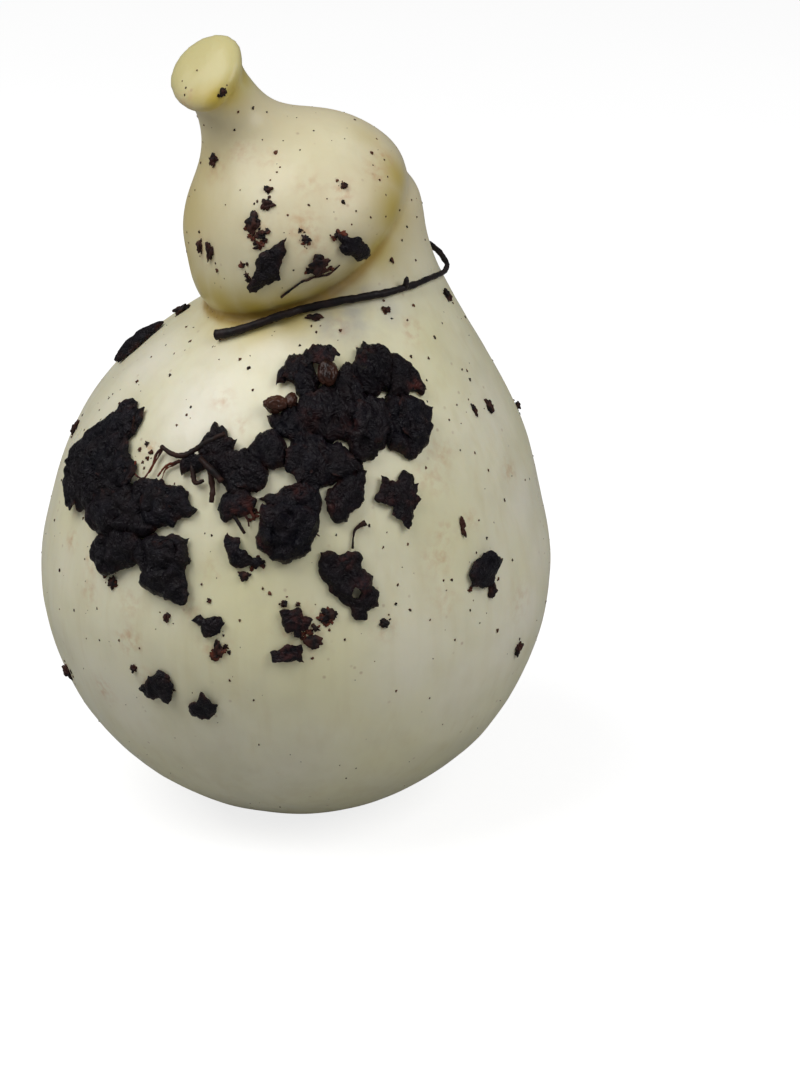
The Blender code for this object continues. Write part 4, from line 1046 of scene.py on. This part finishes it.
def make_rind(settings):
    """Body, head and stem as one pear of curd with a soft uneven rind."""
    body = cage("rind", belly_rings() + list(SHOULDER_RINGS), BODY_SEGMENTS)
    head = cage("head", HEAD_RINGS, HEAD_SEGMENTS)
    finish_with(body, "BOOLEAN", operation="UNION", solver="EXACT", object=head)
    bpy.data.objects.remove(head, do_unlink=True)
    cut_foot(body)
    finish_with(body, "REMESH", mode="VOXEL", voxel_size=settings.grain * MM, use_smooth_shade=True)
    finish_with(body, "SMOOTH", factor=0.5, iterations=4)
    spots = places(body)
    blend = step(spots[:, 0], *BLEND_RIGHT) * step(spots[:, 2], *BLEND_BELOW)
    blend *= 1.0 - step(spots[:, 2], *BLEND_ABOVE)
    weigh(body, "blend", blend)
    finish_with(body, "SMOOTH", factor=0.5, iterations=BLEND_ROUNDS, vertex_group="blend")
    weigh(body, "free", step(spots[:, 2], *WAVES_FROM))
    short = settings.uneven * SHORT_SHARE
    for size, height in ((LONG_WAVES, settings.uneven), (SHORT_WAVES, short)):
        waves = clouds(f"waves_{size:.0f}", size, 1)
        finish_with(body, "DISPLACE", texture=waves, strength=height * MM, vertex_group="free")
    body.vertex_groups.clear()
    paint_rind(body)
    hand_over(body, ["cheese"], curd_material(settings))


# ---- Grape skins ----


def torn(corners, grain, draw):
    """The outline split finer and finer, each new point a little off its side."""
    outline = [Vector(corner) for corner in corners]
    while True:
        finer = []
        for start, end in zip(outline, outline[1:] + outline[:1]):
            side = end - start
            finer.append(start)
            if side.length > grain * 1.5:
                finer.append((start + end) / 2 + side.orthogonal() * draw.uniform(-0.16, 0.16))
        if len(finer) == len(outline):
            return outline
        outline = finer


def margins(spots, outline):
    """How far inside an outline each spot is; outside it is negative."""
    starts = np.array(outline)
    sides = np.roll(starts, -1, axis=0) - starts
    offset = spots[:, None, :] - starts[None, :, :]
    part = np.clip((offset * sides).sum(axis=2) / (sides * sides).sum(axis=1), 0.0, 1.0)
    gaps = np.linalg.norm(offset - part[:, :, None] * sides, axis=2).min(axis=1)
    tops = starts + sides
    spans = (starts[None, :, 1] > spots[:, None, 1]) != (tops[None, :, 1] > spots[:, None, 1])
    rises = np.where(sides[:, 1] == 0.0, 1e-9, sides[:, 1])
    crossing = starts[:, 0] + (spots[:, None, 1] - starts[:, 1]) * sides[:, 0] / rises
    hits = (spans & (crossing > spots[:, None, 0])).sum(axis=1)
    return np.where(hits % 2 == 1, gaps, -gaps)


def filled(outline, grain, draw):
    """The outline filled with triangles of about one size."""
    corners = np.array(outline)
    low, high = corners.min(axis=0), corners.max(axis=0)
    spots = []
    for row, y in enumerate(np.arange(low[1], high[1], grain * 0.87)):
        for x in np.arange(low[0] + (row % 2) * grain / 2, high[0], grain):
            spots.append((x + draw.uniform(-0.12, 0.12) * grain, y + draw.uniform(-0.12, 0.12) * grain))
    spots = np.array(spots)
    kept = spots[margins(spots, outline) > grain * 0.5]
    points = list(outline) + [Vector(spot) for spot in kept]
    count = len(outline)
    sides = [(index, (index + 1) % count) for index in range(count)]
    flat, _, faces, _, _, _ = geometry.delaunay_2d_cdt(points, sides, [tuple(range(count))], 1, 0.00001)
    return flat, faces


def folds(x, y, seed, depth):
    """Crumpled relief: soft lumps, long sharp folds and finer creases across them."""
    spot = Vector((x, y, 0.0)) + noise.noise_vector(Vector((x, y, 3.0)) * 0.13 + seed) * 3.5
    swell = noise.noise(spot * 0.21 - seed)
    long_folds = 0.42 - abs(noise.noise(spot * 0.17 + seed)) * 2.2
    across = Vector(
        (x * math.cos(seed.x) + y * math.sin(seed.x), y * math.cos(seed.x) - x * math.sin(seed.x), 0)
    )
    across = Vector((across.x * 0.32, across.y * 0.95, 0.0)) + noise.noise_vector(spot * 0.2 - seed) * 1.6
    fine_folds = 0.35 - abs(noise.noise(across)) * 2.0
    patchy = 0.3 + 0.7 * max(0.0, min(1.0, 0.5 + 1.6 * noise.noise(spot * 0.16 + seed * 2.0)))
    return depth * (1.1 * swell + 0.6 * long_folds + 0.5 * fine_folds * patchy)


def open_sides(faces):
    """The edges that only one face uses, in that face's direction."""
    used = {}
    for face in faces:
        for start, end in zip(face, face[1:] + face[:1]):
            used[frozenset((start, end))] = None if frozenset((start, end)) in used else (start, end)
    return [side for side in used.values() if side]


def grape_skin(name, form, rind, settings, axis=BODY_AXIS, radius=BELLY_R):
    """A grape skin lying crumpled on the rind, both faces split alike."""
    draw = random.Random(name)
    noise.seed_set(FOLD_SEED)
    per_degree = math.radians(1) * radius
    corners = [(degrees * per_degree, height) for degrees, height in form.outline]
    outline = torn(corners, settings.weave, draw)
    flat, faces = filled(outline, settings.weave, draw)
    seed = Vector((draw.uniform(0, 90), draw.uniform(0, 90), 0))
    inner = np.maximum(margins(np.array([tuple(spot) for spot in flat]), outline), 0.0)
    for degrees, height, hole in form.holes:
        centre = Vector((degrees * per_degree, height))
        faces = [face for face in faces if all((flat[index] - centre).length > hole for index in face)]
    bm = bmesh.new()
    edge_layer = bm.verts.layers.float.new("edge")
    tone_layer = bm.verts.layers.float.new("tone")
    crest_layer = bm.verts.layers.float.new("crest")
    tone = draw.random()
    under, over = [], []
    for spot, gap in zip(flat, inner):
        edge = min(1.0, gap / 4.0)
        rim = 1.0 - math.exp(-gap / 0.7)
        wrinkle = noise.noise(Vector((spot.x, spot.y, 0)) * 0.33 + seed)
        wave = 0.5 + 0.5 * noise.noise(Vector((spot.x, spot.y, 9)) * 0.25 + seed)
        curl = max(0.0, noise.noise(Vector((spot.x, spot.y, 20)) * 0.14 + seed) + 0.1)
        lift = form.lift + form.wave * wave + 2.2 * curl * max(0.0, 1.0 - gap / 3.0) ** 2
        height = 0.55 + (form.thick - 0.55) * rim
        height += form.dome * edge**0.6 * (0.75 + 0.7 * wrinkle)
        crest = folds(spot.x, spot.y, seed, settings.crumple)
        height += crest * (0.35 + 0.65 * rim)
        if form.rings:
            ripple = gap + 1.2 * noise.noise(Vector((spot.x, spot.y, 5)) * 0.3 + seed)
            height += form.rings * math.sin(ripple * 3.6) * min(1.0, gap / 1.5)
        point, normal = rind.at(spot.x / per_degree, spot.y, axis)
        for layer, rise in ((under, lift), (over, lift + max(0.4, height))):
            vert = bm.verts.new(point + normal * rise * MM)
            vert[edge_layer] = math.exp(-gap / 0.8)
            vert[tone_layer] = tone
            # How high the folds stand, where the material lays its painted highlight.
            vert[crest_layer] = max(0.0, min(1.0, 0.2 + crest * 1.2))
            layer.append(vert)
    for face in faces:
        bm.faces.new([over[index] for index in face])
        bm.faces.new([under[index] for index in reversed(face)])
    for start, end in open_sides([list(face) for face in faces]):
        bm.faces.new([over[end], over[start], under[start], under[end]])
    bmesh.ops.delete(bm, geom=[vert for vert in bm.verts if not vert.link_faces], context="VERTS")
    bmesh.ops.triangulate(bm, faces=bm.faces)
    bmesh.ops.recalc_face_normals(bm, faces=bm.faces)
    return put_mesh(name, bm)


def paint_rust(piece, rind):
    paint(piece, "rust", near(places(piece), *marks(rind, RUST_MARKS, rise=2.5)))


def back_heap():
    """Skins of the right heap, turned to the far side and lowered."""
    moved = []
    for index in BACK_HEAP:
        form = RIGHT_HEAP[index]
        outline = tuple((degrees + BACK_TURN, height + BACK_DROP) for degrees, height in form.outline)
        moved.append(form._replace(outline=outline))
    return moved


def ragged_lump(bm, spot, rind, axis, rings, ragged, sink):
    """A small torn lump on the rind: a berry, a crumb or a speck."""
    degrees, height, across, up, out = spot
    point, normal = rind.at(degrees, height, axis, 1.0)
    side = Vector((0, 0, 1)).cross(normal).normalized()
    turned = Matrix((side, normal.cross(side), normal)).transposed().to_4x4()
    place = Matrix.Translation(point + normal * out * sink * MM) @ turned
    size = Matrix.Diagonal((across * MM, up * MM, out * MM, 1.0))
    made = bmesh.ops.create_icosphere(bm, subdivisions=rings, radius=1.0)
    seed = Vector((degrees, height, across * 7.0))
    for vert in made["verts"]:
        around = vert.co * 1.3
        swell = 1.0 + ragged * noise.noise(around + seed) + 0.5 * ragged * noise.noise(around * 2.6 - seed)
        vert.co = place @ size @ (vert.co * swell)


def lumps(name, rows, rind, rings, ragged, sink):
    """Many small lumps as one piece."""
    bm = bmesh.new()
    for spot, axis in rows:
        if rind.cast(spot[0], spot[1], axis)[0] is not None:
            ragged_lump(bm, spot, rind, axis, rings, ragged, sink)
    return put_mesh(name, bm)


def sized(rows, shares, axis):
    """Places with a radius as places with three half sizes, and the line they are round."""
    across, up, out = shares
    return [((row[0], row[1], row[2] * across, row[2] * up, row[2] * out), axis) for row in rows]


def fragments(rows, draw):
    """Tiny bits round each crumb."""
    bits = []
    for spot, axis in rows:
        for _ in range(draw.randint(1, 5)):
            reach = max(spot[2], spot[3]) * draw.uniform(1.1, 2.6)
            turn = draw.uniform(0, 2 * math.pi)
            radius = draw.uniform(0.16, 0.42)
            away = 45.0 * reach * math.sin(turn) / BELLY_R
            place = (spot[0] + away, spot[1] + reach * math.cos(turn))
            bits.append(((*place, radius, radius * draw.uniform(0.6, 1.5), radius * 0.6), axis))
    return bits


def strewn(where, count, draw):
    """Tiny specks all round, few of them big."""
    axis, least, more, lowest, span, power = where
    bits = []
    for _ in range(count):
        radius = least + more * draw.random() ** 3
        place = (draw.uniform(-180, 180), lowest + span * draw.random() ** power)
        bits.append(((*place, radius, radius * draw.uniform(0.6, 1.8), radius * 0.5), axis))
    return bits


def speck_rows(crumb_rows, count):
    """All specks: bits round the crumbs, those with a place of their own and strewn ones."""
    draw = random.Random(11)
    rows = fragments(crumb_rows, draw)
    rows += sized(BODY_SPECKS, BODY_SPECK_SIZE, BODY_AXIS)
    rows += sized(HEAD_SPECKS, HEAD_SPECK_SIZE, HEAD_AXIS)
    rows += strewn(STREWN_BODY, count, draw)
    rows += strewn(STREWN_HEAD, count // HEAD_SHARE, draw)
    return rows


# ---- Sticks ----


def smooth_rows(rows, parts):
    """Rows of numbers with more rows between them on one smooth line."""
    grid = np.array(rows)
    ends = np.vstack([2 * grid[0] - grid[1], grid, 2 * grid[-1] - grid[-2]])
    line = []
    for index in range(1, len(ends) - 2):
        first, start, end, last = ends[index - 1 : index + 3]
        for part in np.arange(parts) / parts:
            line.append(
                0.5
                * (
                    2 * start
                    + (end - first) * part
                    + (2 * first - 5 * start + 4 * end - last) * part**2
                    + (3 * start - first - 3 * end + last) * part**3
                )
            )
    line.append(grid[-1])
    return line


def stick(name, spots, bevel):
    """A round stick through points given with their own radius."""
    curve = bpy.data.curves.new(name, "CURVE")
    curve.dimensions = "3D"
    curve.bevel_depth = MM
    curve.bevel_resolution = bevel
    curve.use_fill_caps = True
    spline = curve.splines.new("POLY")
    spline.points.add(len(spots) - 1)
    for knot, (point, radius) in zip(spline.points, spots):
        knot.co = (*point, 1.0)
        knot.radius = radius
    made = put(name, curve)
    only(made)
    bpy.ops.object.convert(target="MESH")
    bpy.ops.object.mode_set(mode="EDIT")
    bpy.ops.mesh.select_all(action="SELECT")
    bpy.ops.mesh.remove_doubles(threshold=0.00001)
    bpy.ops.mesh.normals_make_consistent(inside=False)
    bpy.ops.object.mode_set(mode="OBJECT")
    return bpy.context.object


def stem_on_rind(name, rows, rind, clear, axis=BODY_AXIS):
    """A thin bare stem lying over the rind."""
    spots = []
    draw = random.Random(name)
    for degrees, height, radius in smooth_rows(rows, 6):
        point, normal = rind.at(degrees, height, axis)
        spots.append((point + normal * (radius + clear) * MM, radius * draw.uniform(0.82, 1.15)))
    return stick(name, spots, 3)


def make_twig(rind, settings):
    """The vine twig round the neck with its bud and cut ends."""
    spots = []
    outs = []
    draw = random.Random(4)
    for degrees, height, clear, radius in smooth_rows(TWIG, 6):
        point, normal = rind.at(degrees, height)
        radius *= settings.girth
        swell = 1.0 + settings.knobs * noise.noise(Vector((degrees * 0.35, 0.0, 0.0)))
        spots.append((point + normal * (clear + radius) * MM, radius * swell * draw.uniform(0.98, 1.02)))
        outs.append(normal)
    start, end = spots[0], spots[-1]
    spots[0] = (start[0], start[1] * 1.22)
    spots[1] = (spots[1][0], spots[1][1] * 1.12)
    spots[-1] = (end[0], end[1] * 1.15)
    twig = stick("vine_twig", spots, 6)
    root, radius = spots[BUD_AT * 6]
    rise = (Vector((0, 0, 1)) + outs[BUD_AT * 6] * 0.5).normalized()
    tip = root + rise * BUD_LENGTH * MM
    middle, upper = root.lerp(tip, 0.45), root.lerp(tip, 0.75)
    bud = [(root, radius * 1.1), (middle, radius * 0.85), (upper, 0.75), (tip, 0.35)]
    twig = joined("vine_twig", [twig, stick("bud", bud, 4)])
    finish_with(twig, "DISPLACE", texture=clouds("bark", 1.6, 2), strength=0.55 * MM)
    return twig


# ---- Settings ----


class CheeseSettings(PropertyGroup):
    grain: FloatProperty(
        name="Grain", description="Size of the rind's mesh in millimetres", default=1.19, min=0.8, max=5.0
    )
    uneven: FloatProperty(
        name="Unevenness", description="Height of the rind's soft waves in millimetres", default=1.1
    )
    pale: FloatVectorProperty(
        name="Pale curd",
        description="The rind's lighter colour",
        subtype="COLOR",
        default=(0.80, 0.765, 0.57),
    )
    warm: FloatVectorProperty(
        name="Warm curd",
        description="The rind's yellower colour",
        subtype="COLOR",
        default=(0.73, 0.69, 0.405),
    )
    stain: FloatVectorProperty(
        name="Stain", description="Brown marks of the pomace", subtype="COLOR", default=(0.56, 0.32, 0.16)
    )


class PomaceSettings(PropertyGroup):
    weave: FloatProperty(
        name="Weave", description="Size of a skin's mesh in millimetres", default=0.55, min=0.3, max=3.0
    )
    crumple: FloatProperty(name="Crumple", description="Height of the folds in millimetres", default=0.7)
    specks: IntProperty(
        name="Specks", description="Tiny specks strewn over the rind", default=420, min=0, max=2000
    )
    skin: FloatVectorProperty(
        name="Skin",
        description="The grape skins' colour",
        subtype="COLOR",
        default=(0.0028, 0.0012, 0.0024),
    )
    bloom: FloatVectorProperty(
        name="Bloomed skin",
        description="Colour of the skins that kept their bluish bloom",
        subtype="COLOR",
        default=(0.0014, 0.0014, 0.0040),
    )
    torn: FloatVectorProperty(
        name="Torn edge",
        description="The skins' torn edges",
        subtype="COLOR",
        default=(0.045, 0.014, 0.010),
    )


class TwigSettings(PropertyGroup):
    girth: FloatProperty(
        name="Girth", description="The bark's girth against the bare twig's", default=0.8, subtype="FACTOR"
    )
    knobs: FloatProperty(
        name="Knobs", description="How much the twig's girth changes", default=0.16, subtype="FACTOR"
    )
    bark: FloatVectorProperty(
        name="Bark", description="The twig's colour", subtype="COLOR", default=FINISHES["vine_bark"][0]
    )


class StageSettings(PropertyGroup):
    key: FloatProperty(
        name="Key light", description="Soft light from the upper left", default=14.2, unit="POWER"
    )
    fill: FloatProperty(
        name="Fill light", description="Weaker light from the right", default=9.5, unit="POWER"
    )
    sky: FloatProperty(name="Surround", description="Light from all round", default=0.17)


# ---- Operators ----


class CACIO_OT_rind(Operator):
    """Make the body, head and stem of curd"""

    bl_idname = "cacio.rind"
    bl_label = "Rind"

    def execute(self, context):
        make_rind(context.scene.cacio_cheese)
        return {"FINISHED"}


class CACIO_OT_twig(Operator):
    """Lay the vine twig round the neck"""

    bl_idname = "cacio.twig"
    bl_label = "Vine twig"

    def execute(self, context):
        settings = context.scene.cacio_twig
        twig = make_twig(Rind(), settings)
        hand_over(twig, ["neck_twig"], plain_material("vine_bark", settings.bark))
        return {"FINISHED"}


class CACIO_OT_pomace(Operator):
    """Pile the grape skins, berries and stems of the heaps"""

    bl_idname = "cacio.pomace"
    bl_label = "Heaps of pomace"

    def execute(self, context):
        settings = context.scene.cacio_pomace
        rind = Rind()
        skin = skin_material(settings)
        for side, heap in (
            ("left", LEFT_HEAP + LEFT_LAYERS),
            ("right", RIGHT_HEAP + RIGHT_LAYERS),
            ("back", back_heap()),
        ):
            pieces = [
                grape_skin(f"{side}_{index}", form, rind, settings) for index, form in enumerate(heap)
            ]
            piece = joined(f"{side}_skins", pieces)
            paint_rust(piece, rind)
            hand_over(piece, [f"pomace_{side}"], skin, 60)
        berries = lumps("berries", [(spot, BODY_AXIS) for spot in BERRIES], rind, 5, 0.22, 1.5)
        hand_over(berries, ["pomace_right"], plain_material("berry"))
        for name, table in (("stems", STEMS), ("hairs", HAIRS)):
            pieces = [
                stem_on_rind(f"{name}_{index}", rows, rind, clear)
                for index, (clear, rows) in enumerate(table)
            ]
            piece = joined(name, pieces)
            finish_with(piece, "DISPLACE", texture=clouds(name, 1.3, 2), strength=0.35 * MM)
            hand_over(piece, ["pomace_right"], plain_material(name))
        return {"FINISHED"}


class CACIO_OT_flakes(Operator):
    """Lay the single skins on the belly, the shoulder and the head"""

    bl_idname = "cacio.flakes"
    bl_label = "Single skins"

    def execute(self, context):
        settings = context.scene.cacio_pomace
        rind = Rind()
        skin = bpy.data.materials["skin_leather"]
        for table, axis, radius in ((FLAKES, BODY_AXIS, BELLY_R), (HEAD_FLAKES, HEAD_AXIS, HEAD_R)):
            for name, form in table.items():
                piece = grape_skin(name + "_look", form, rind, settings, axis, radius)
                paint_rust(piece, rind)
                hand_over(piece, [name], skin, 60)
        return {"FINISHED"}


class CACIO_OT_crumbs(Operator):
    """Strew the crumbs and specks that stick to the rind"""

    bl_idname = "cacio.crumbs"
    bl_label = "Crumbs and specks"

    def execute(self, context):
        rind = Rind()
        crumb = plain_material("crumb")
        rows = [(spot, BODY_AXIS) for spot in CRUMBS] + [(spot, HEAD_AXIS) for spot in HEAD_CRUMBS]
        crumbs = lumps("crumbs", rows, rind, 4, 0.85, CRUMB_SINK)
        hand_over(crumbs, ["cheese"], crumb)
        specks = speck_rows(rows, context.scene.cacio_pomace.specks)
        scraps = sized(BODY_SCRAPS, SCRAP_SIZE, BODY_AXIS) + sized(HEAD_SCRAPS, SCRAP_SIZE, HEAD_AXIS)
        scraps = lumps("scraps", scraps, rind, 3, 1.4, 0.2)
        hand_over(scraps, ["cheese"], plain_material("rusty_scrap"))
        specks = lumps("specks", specks, rind, 2, 1.0, 0.3)
        hand_over(specks, ["cheese"], plain_material("speck"))
        stem = stem_on_rind("head_stem", HEAD_STEM, rind, 0.1, HEAD_AXIS)
        finish_with(stem, "DISPLACE", texture=clouds("hair", 0.8, 2), strength=0.25 * MM)
        hand_over(stem, ["cheese"], crumb)
        return {"FINISHED"}


class CACIO_OT_stage(Operator):
    """Set up the floor, the soft light and the camera"""

    bl_idname = "cacio.stage"
    bl_label = "Stage"

    def execute(self, context):
        settings = context.scene.cacio_stage
        only()
        bpy.ops.mesh.primitive_plane_add(size=FLOOR_SIZE)
        floor = bpy.context.object
        floor.name = "floor"
        white, tree, shader = new_material("pale_floor")
        tone = mixed(
            tree, mottle(tree, 2.0, 2.0, 0.3, 0.7), (0.42, 0.42, 0.42, 1), (0.40, 0.40, 0.40, 1)
        )
        tree.links.new(tone, shader.inputs["Base Color"])
        shader.inputs["Roughness"].default_value = 0.9
        shader.inputs["Specular IOR Level"].default_value = 0.0
        shader.inputs["Emission Color"].default_value = (1, 1, 1, 1)
        seen = add_node(tree, "ShaderNodeLightPath").outputs["Is Camera Ray"]
        tree.links.new(times(tree, seen, FLOOR_GLOW), shader.inputs["Emission Strength"])
        floor.data.materials.append(white)
        for name, place, size, power in (
            ("key", KEY_PLACE, KEY_SIZE, settings.key),
            ("fill", FILL_PLACE, FILL_SIZE, settings.fill),
        ):
            bpy.ops.object.light_add(type="AREA", location=place)
            light = bpy.context.object
            light.name = name
            light.data.energy = power
            light.data.size = size
            aim = Vector((0, 0, LIGHT_AIM)) - Vector(place)
            light.rotation_euler = aim.to_track_quat("-Z", "Y").to_euler()
        world = bpy.data.worlds.new("studio")
        world.use_nodes = True
        world.node_tree.nodes["Background"].inputs["Color"].default_value = (1, 1, 1, 1)
        world.node_tree.nodes["Background"].inputs["Strength"].default_value = settings.sky
        context.scene.world = world
        context.scene.view_settings.view_transform = "Standard"
        right = Vector((1, 0, 0))
        up = Vector((0, math.sin(VIEW_DOWN), math.cos(VIEW_DOWN)))
        back = Vector((0, -math.cos(VIEW_DOWN), math.sin(VIEW_DOWN)))
        aim = Vector((0, 0, BELLY_Z)) + right * AIM_RIGHT + up * AIM_UP
        bpy.ops.object.camera_add(location=(aim + back * VIEW_BACK) * MM)
        camera = bpy.context.object
        camera.name = "camera"
        camera.rotation_euler = (-back).to_track_quat("-Z", "Y").to_euler()
        camera.data.lens = LENS
        camera.data.sensor_width = SENSOR
        camera.data.clip_start = 0.01
        context.scene.camera = camera
        return {"FINISHED"}


class CACIO_PT_panel(Panel):
    """The pieces of the caciocavallo and what can be changed"""

    bl_idname = "CACIO_PT_panel"
    bl_label = "Caciocavallo"
    bl_space_type = "VIEW_3D"
    bl_region_type = "UI"
    bl_category = "Caciocavallo"

    def draw(self, context):
        for operators, group in PANEL_ROWS:
            box = self.layout.box()
            for operator in operators:
                box.operator(operator.bl_idname)
            settings = getattr(context.scene, group)
            for name in settings.__annotations__:
                box.prop(settings, name)


PANEL_ROWS = (
    ((CACIO_OT_rind,), "cacio_cheese"),
    ((CACIO_OT_twig,), "cacio_twig"),
    ((CACIO_OT_pomace, CACIO_OT_flakes, CACIO_OT_crumbs), "cacio_pomace"),
    ((CACIO_OT_stage,), "cacio_stage"),
)
GROUPS = {
    "cacio_cheese": CheeseSettings,
    "cacio_twig": TwigSettings,
    "cacio_pomace": PomaceSettings,
    "cacio_stage": StageSettings,
}
CLASSES = (
    *GROUPS.values(),
    CACIO_OT_rind,
    CACIO_OT_twig,
    CACIO_OT_pomace,
    CACIO_OT_flakes,
    CACIO_OT_crumbs,
    CACIO_OT_stage,
    CACIO_PT_panel,
)


def register():
    for item in CLASSES:
        bpy.utils.register_class(item)
    for name, group in GROUPS.items():
        setattr(bpy.types.Scene, name, PointerProperty(type=group))


def unregister():
    for name in GROUPS:
        delattr(bpy.types.Scene, name)
    for item in reversed(CLASSES):
        bpy.utils.unregister_class(item)


def main():
    register()
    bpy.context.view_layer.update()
    bpy.ops.cacio.rind()
    bpy.ops.cacio.twig()
    bpy.ops.cacio.pomace()
    bpy.ops.cacio.flakes()
    bpy.ops.cacio.crumbs()
    bpy.ops.cacio.stage()


if __name__ == "__main__":
    main()
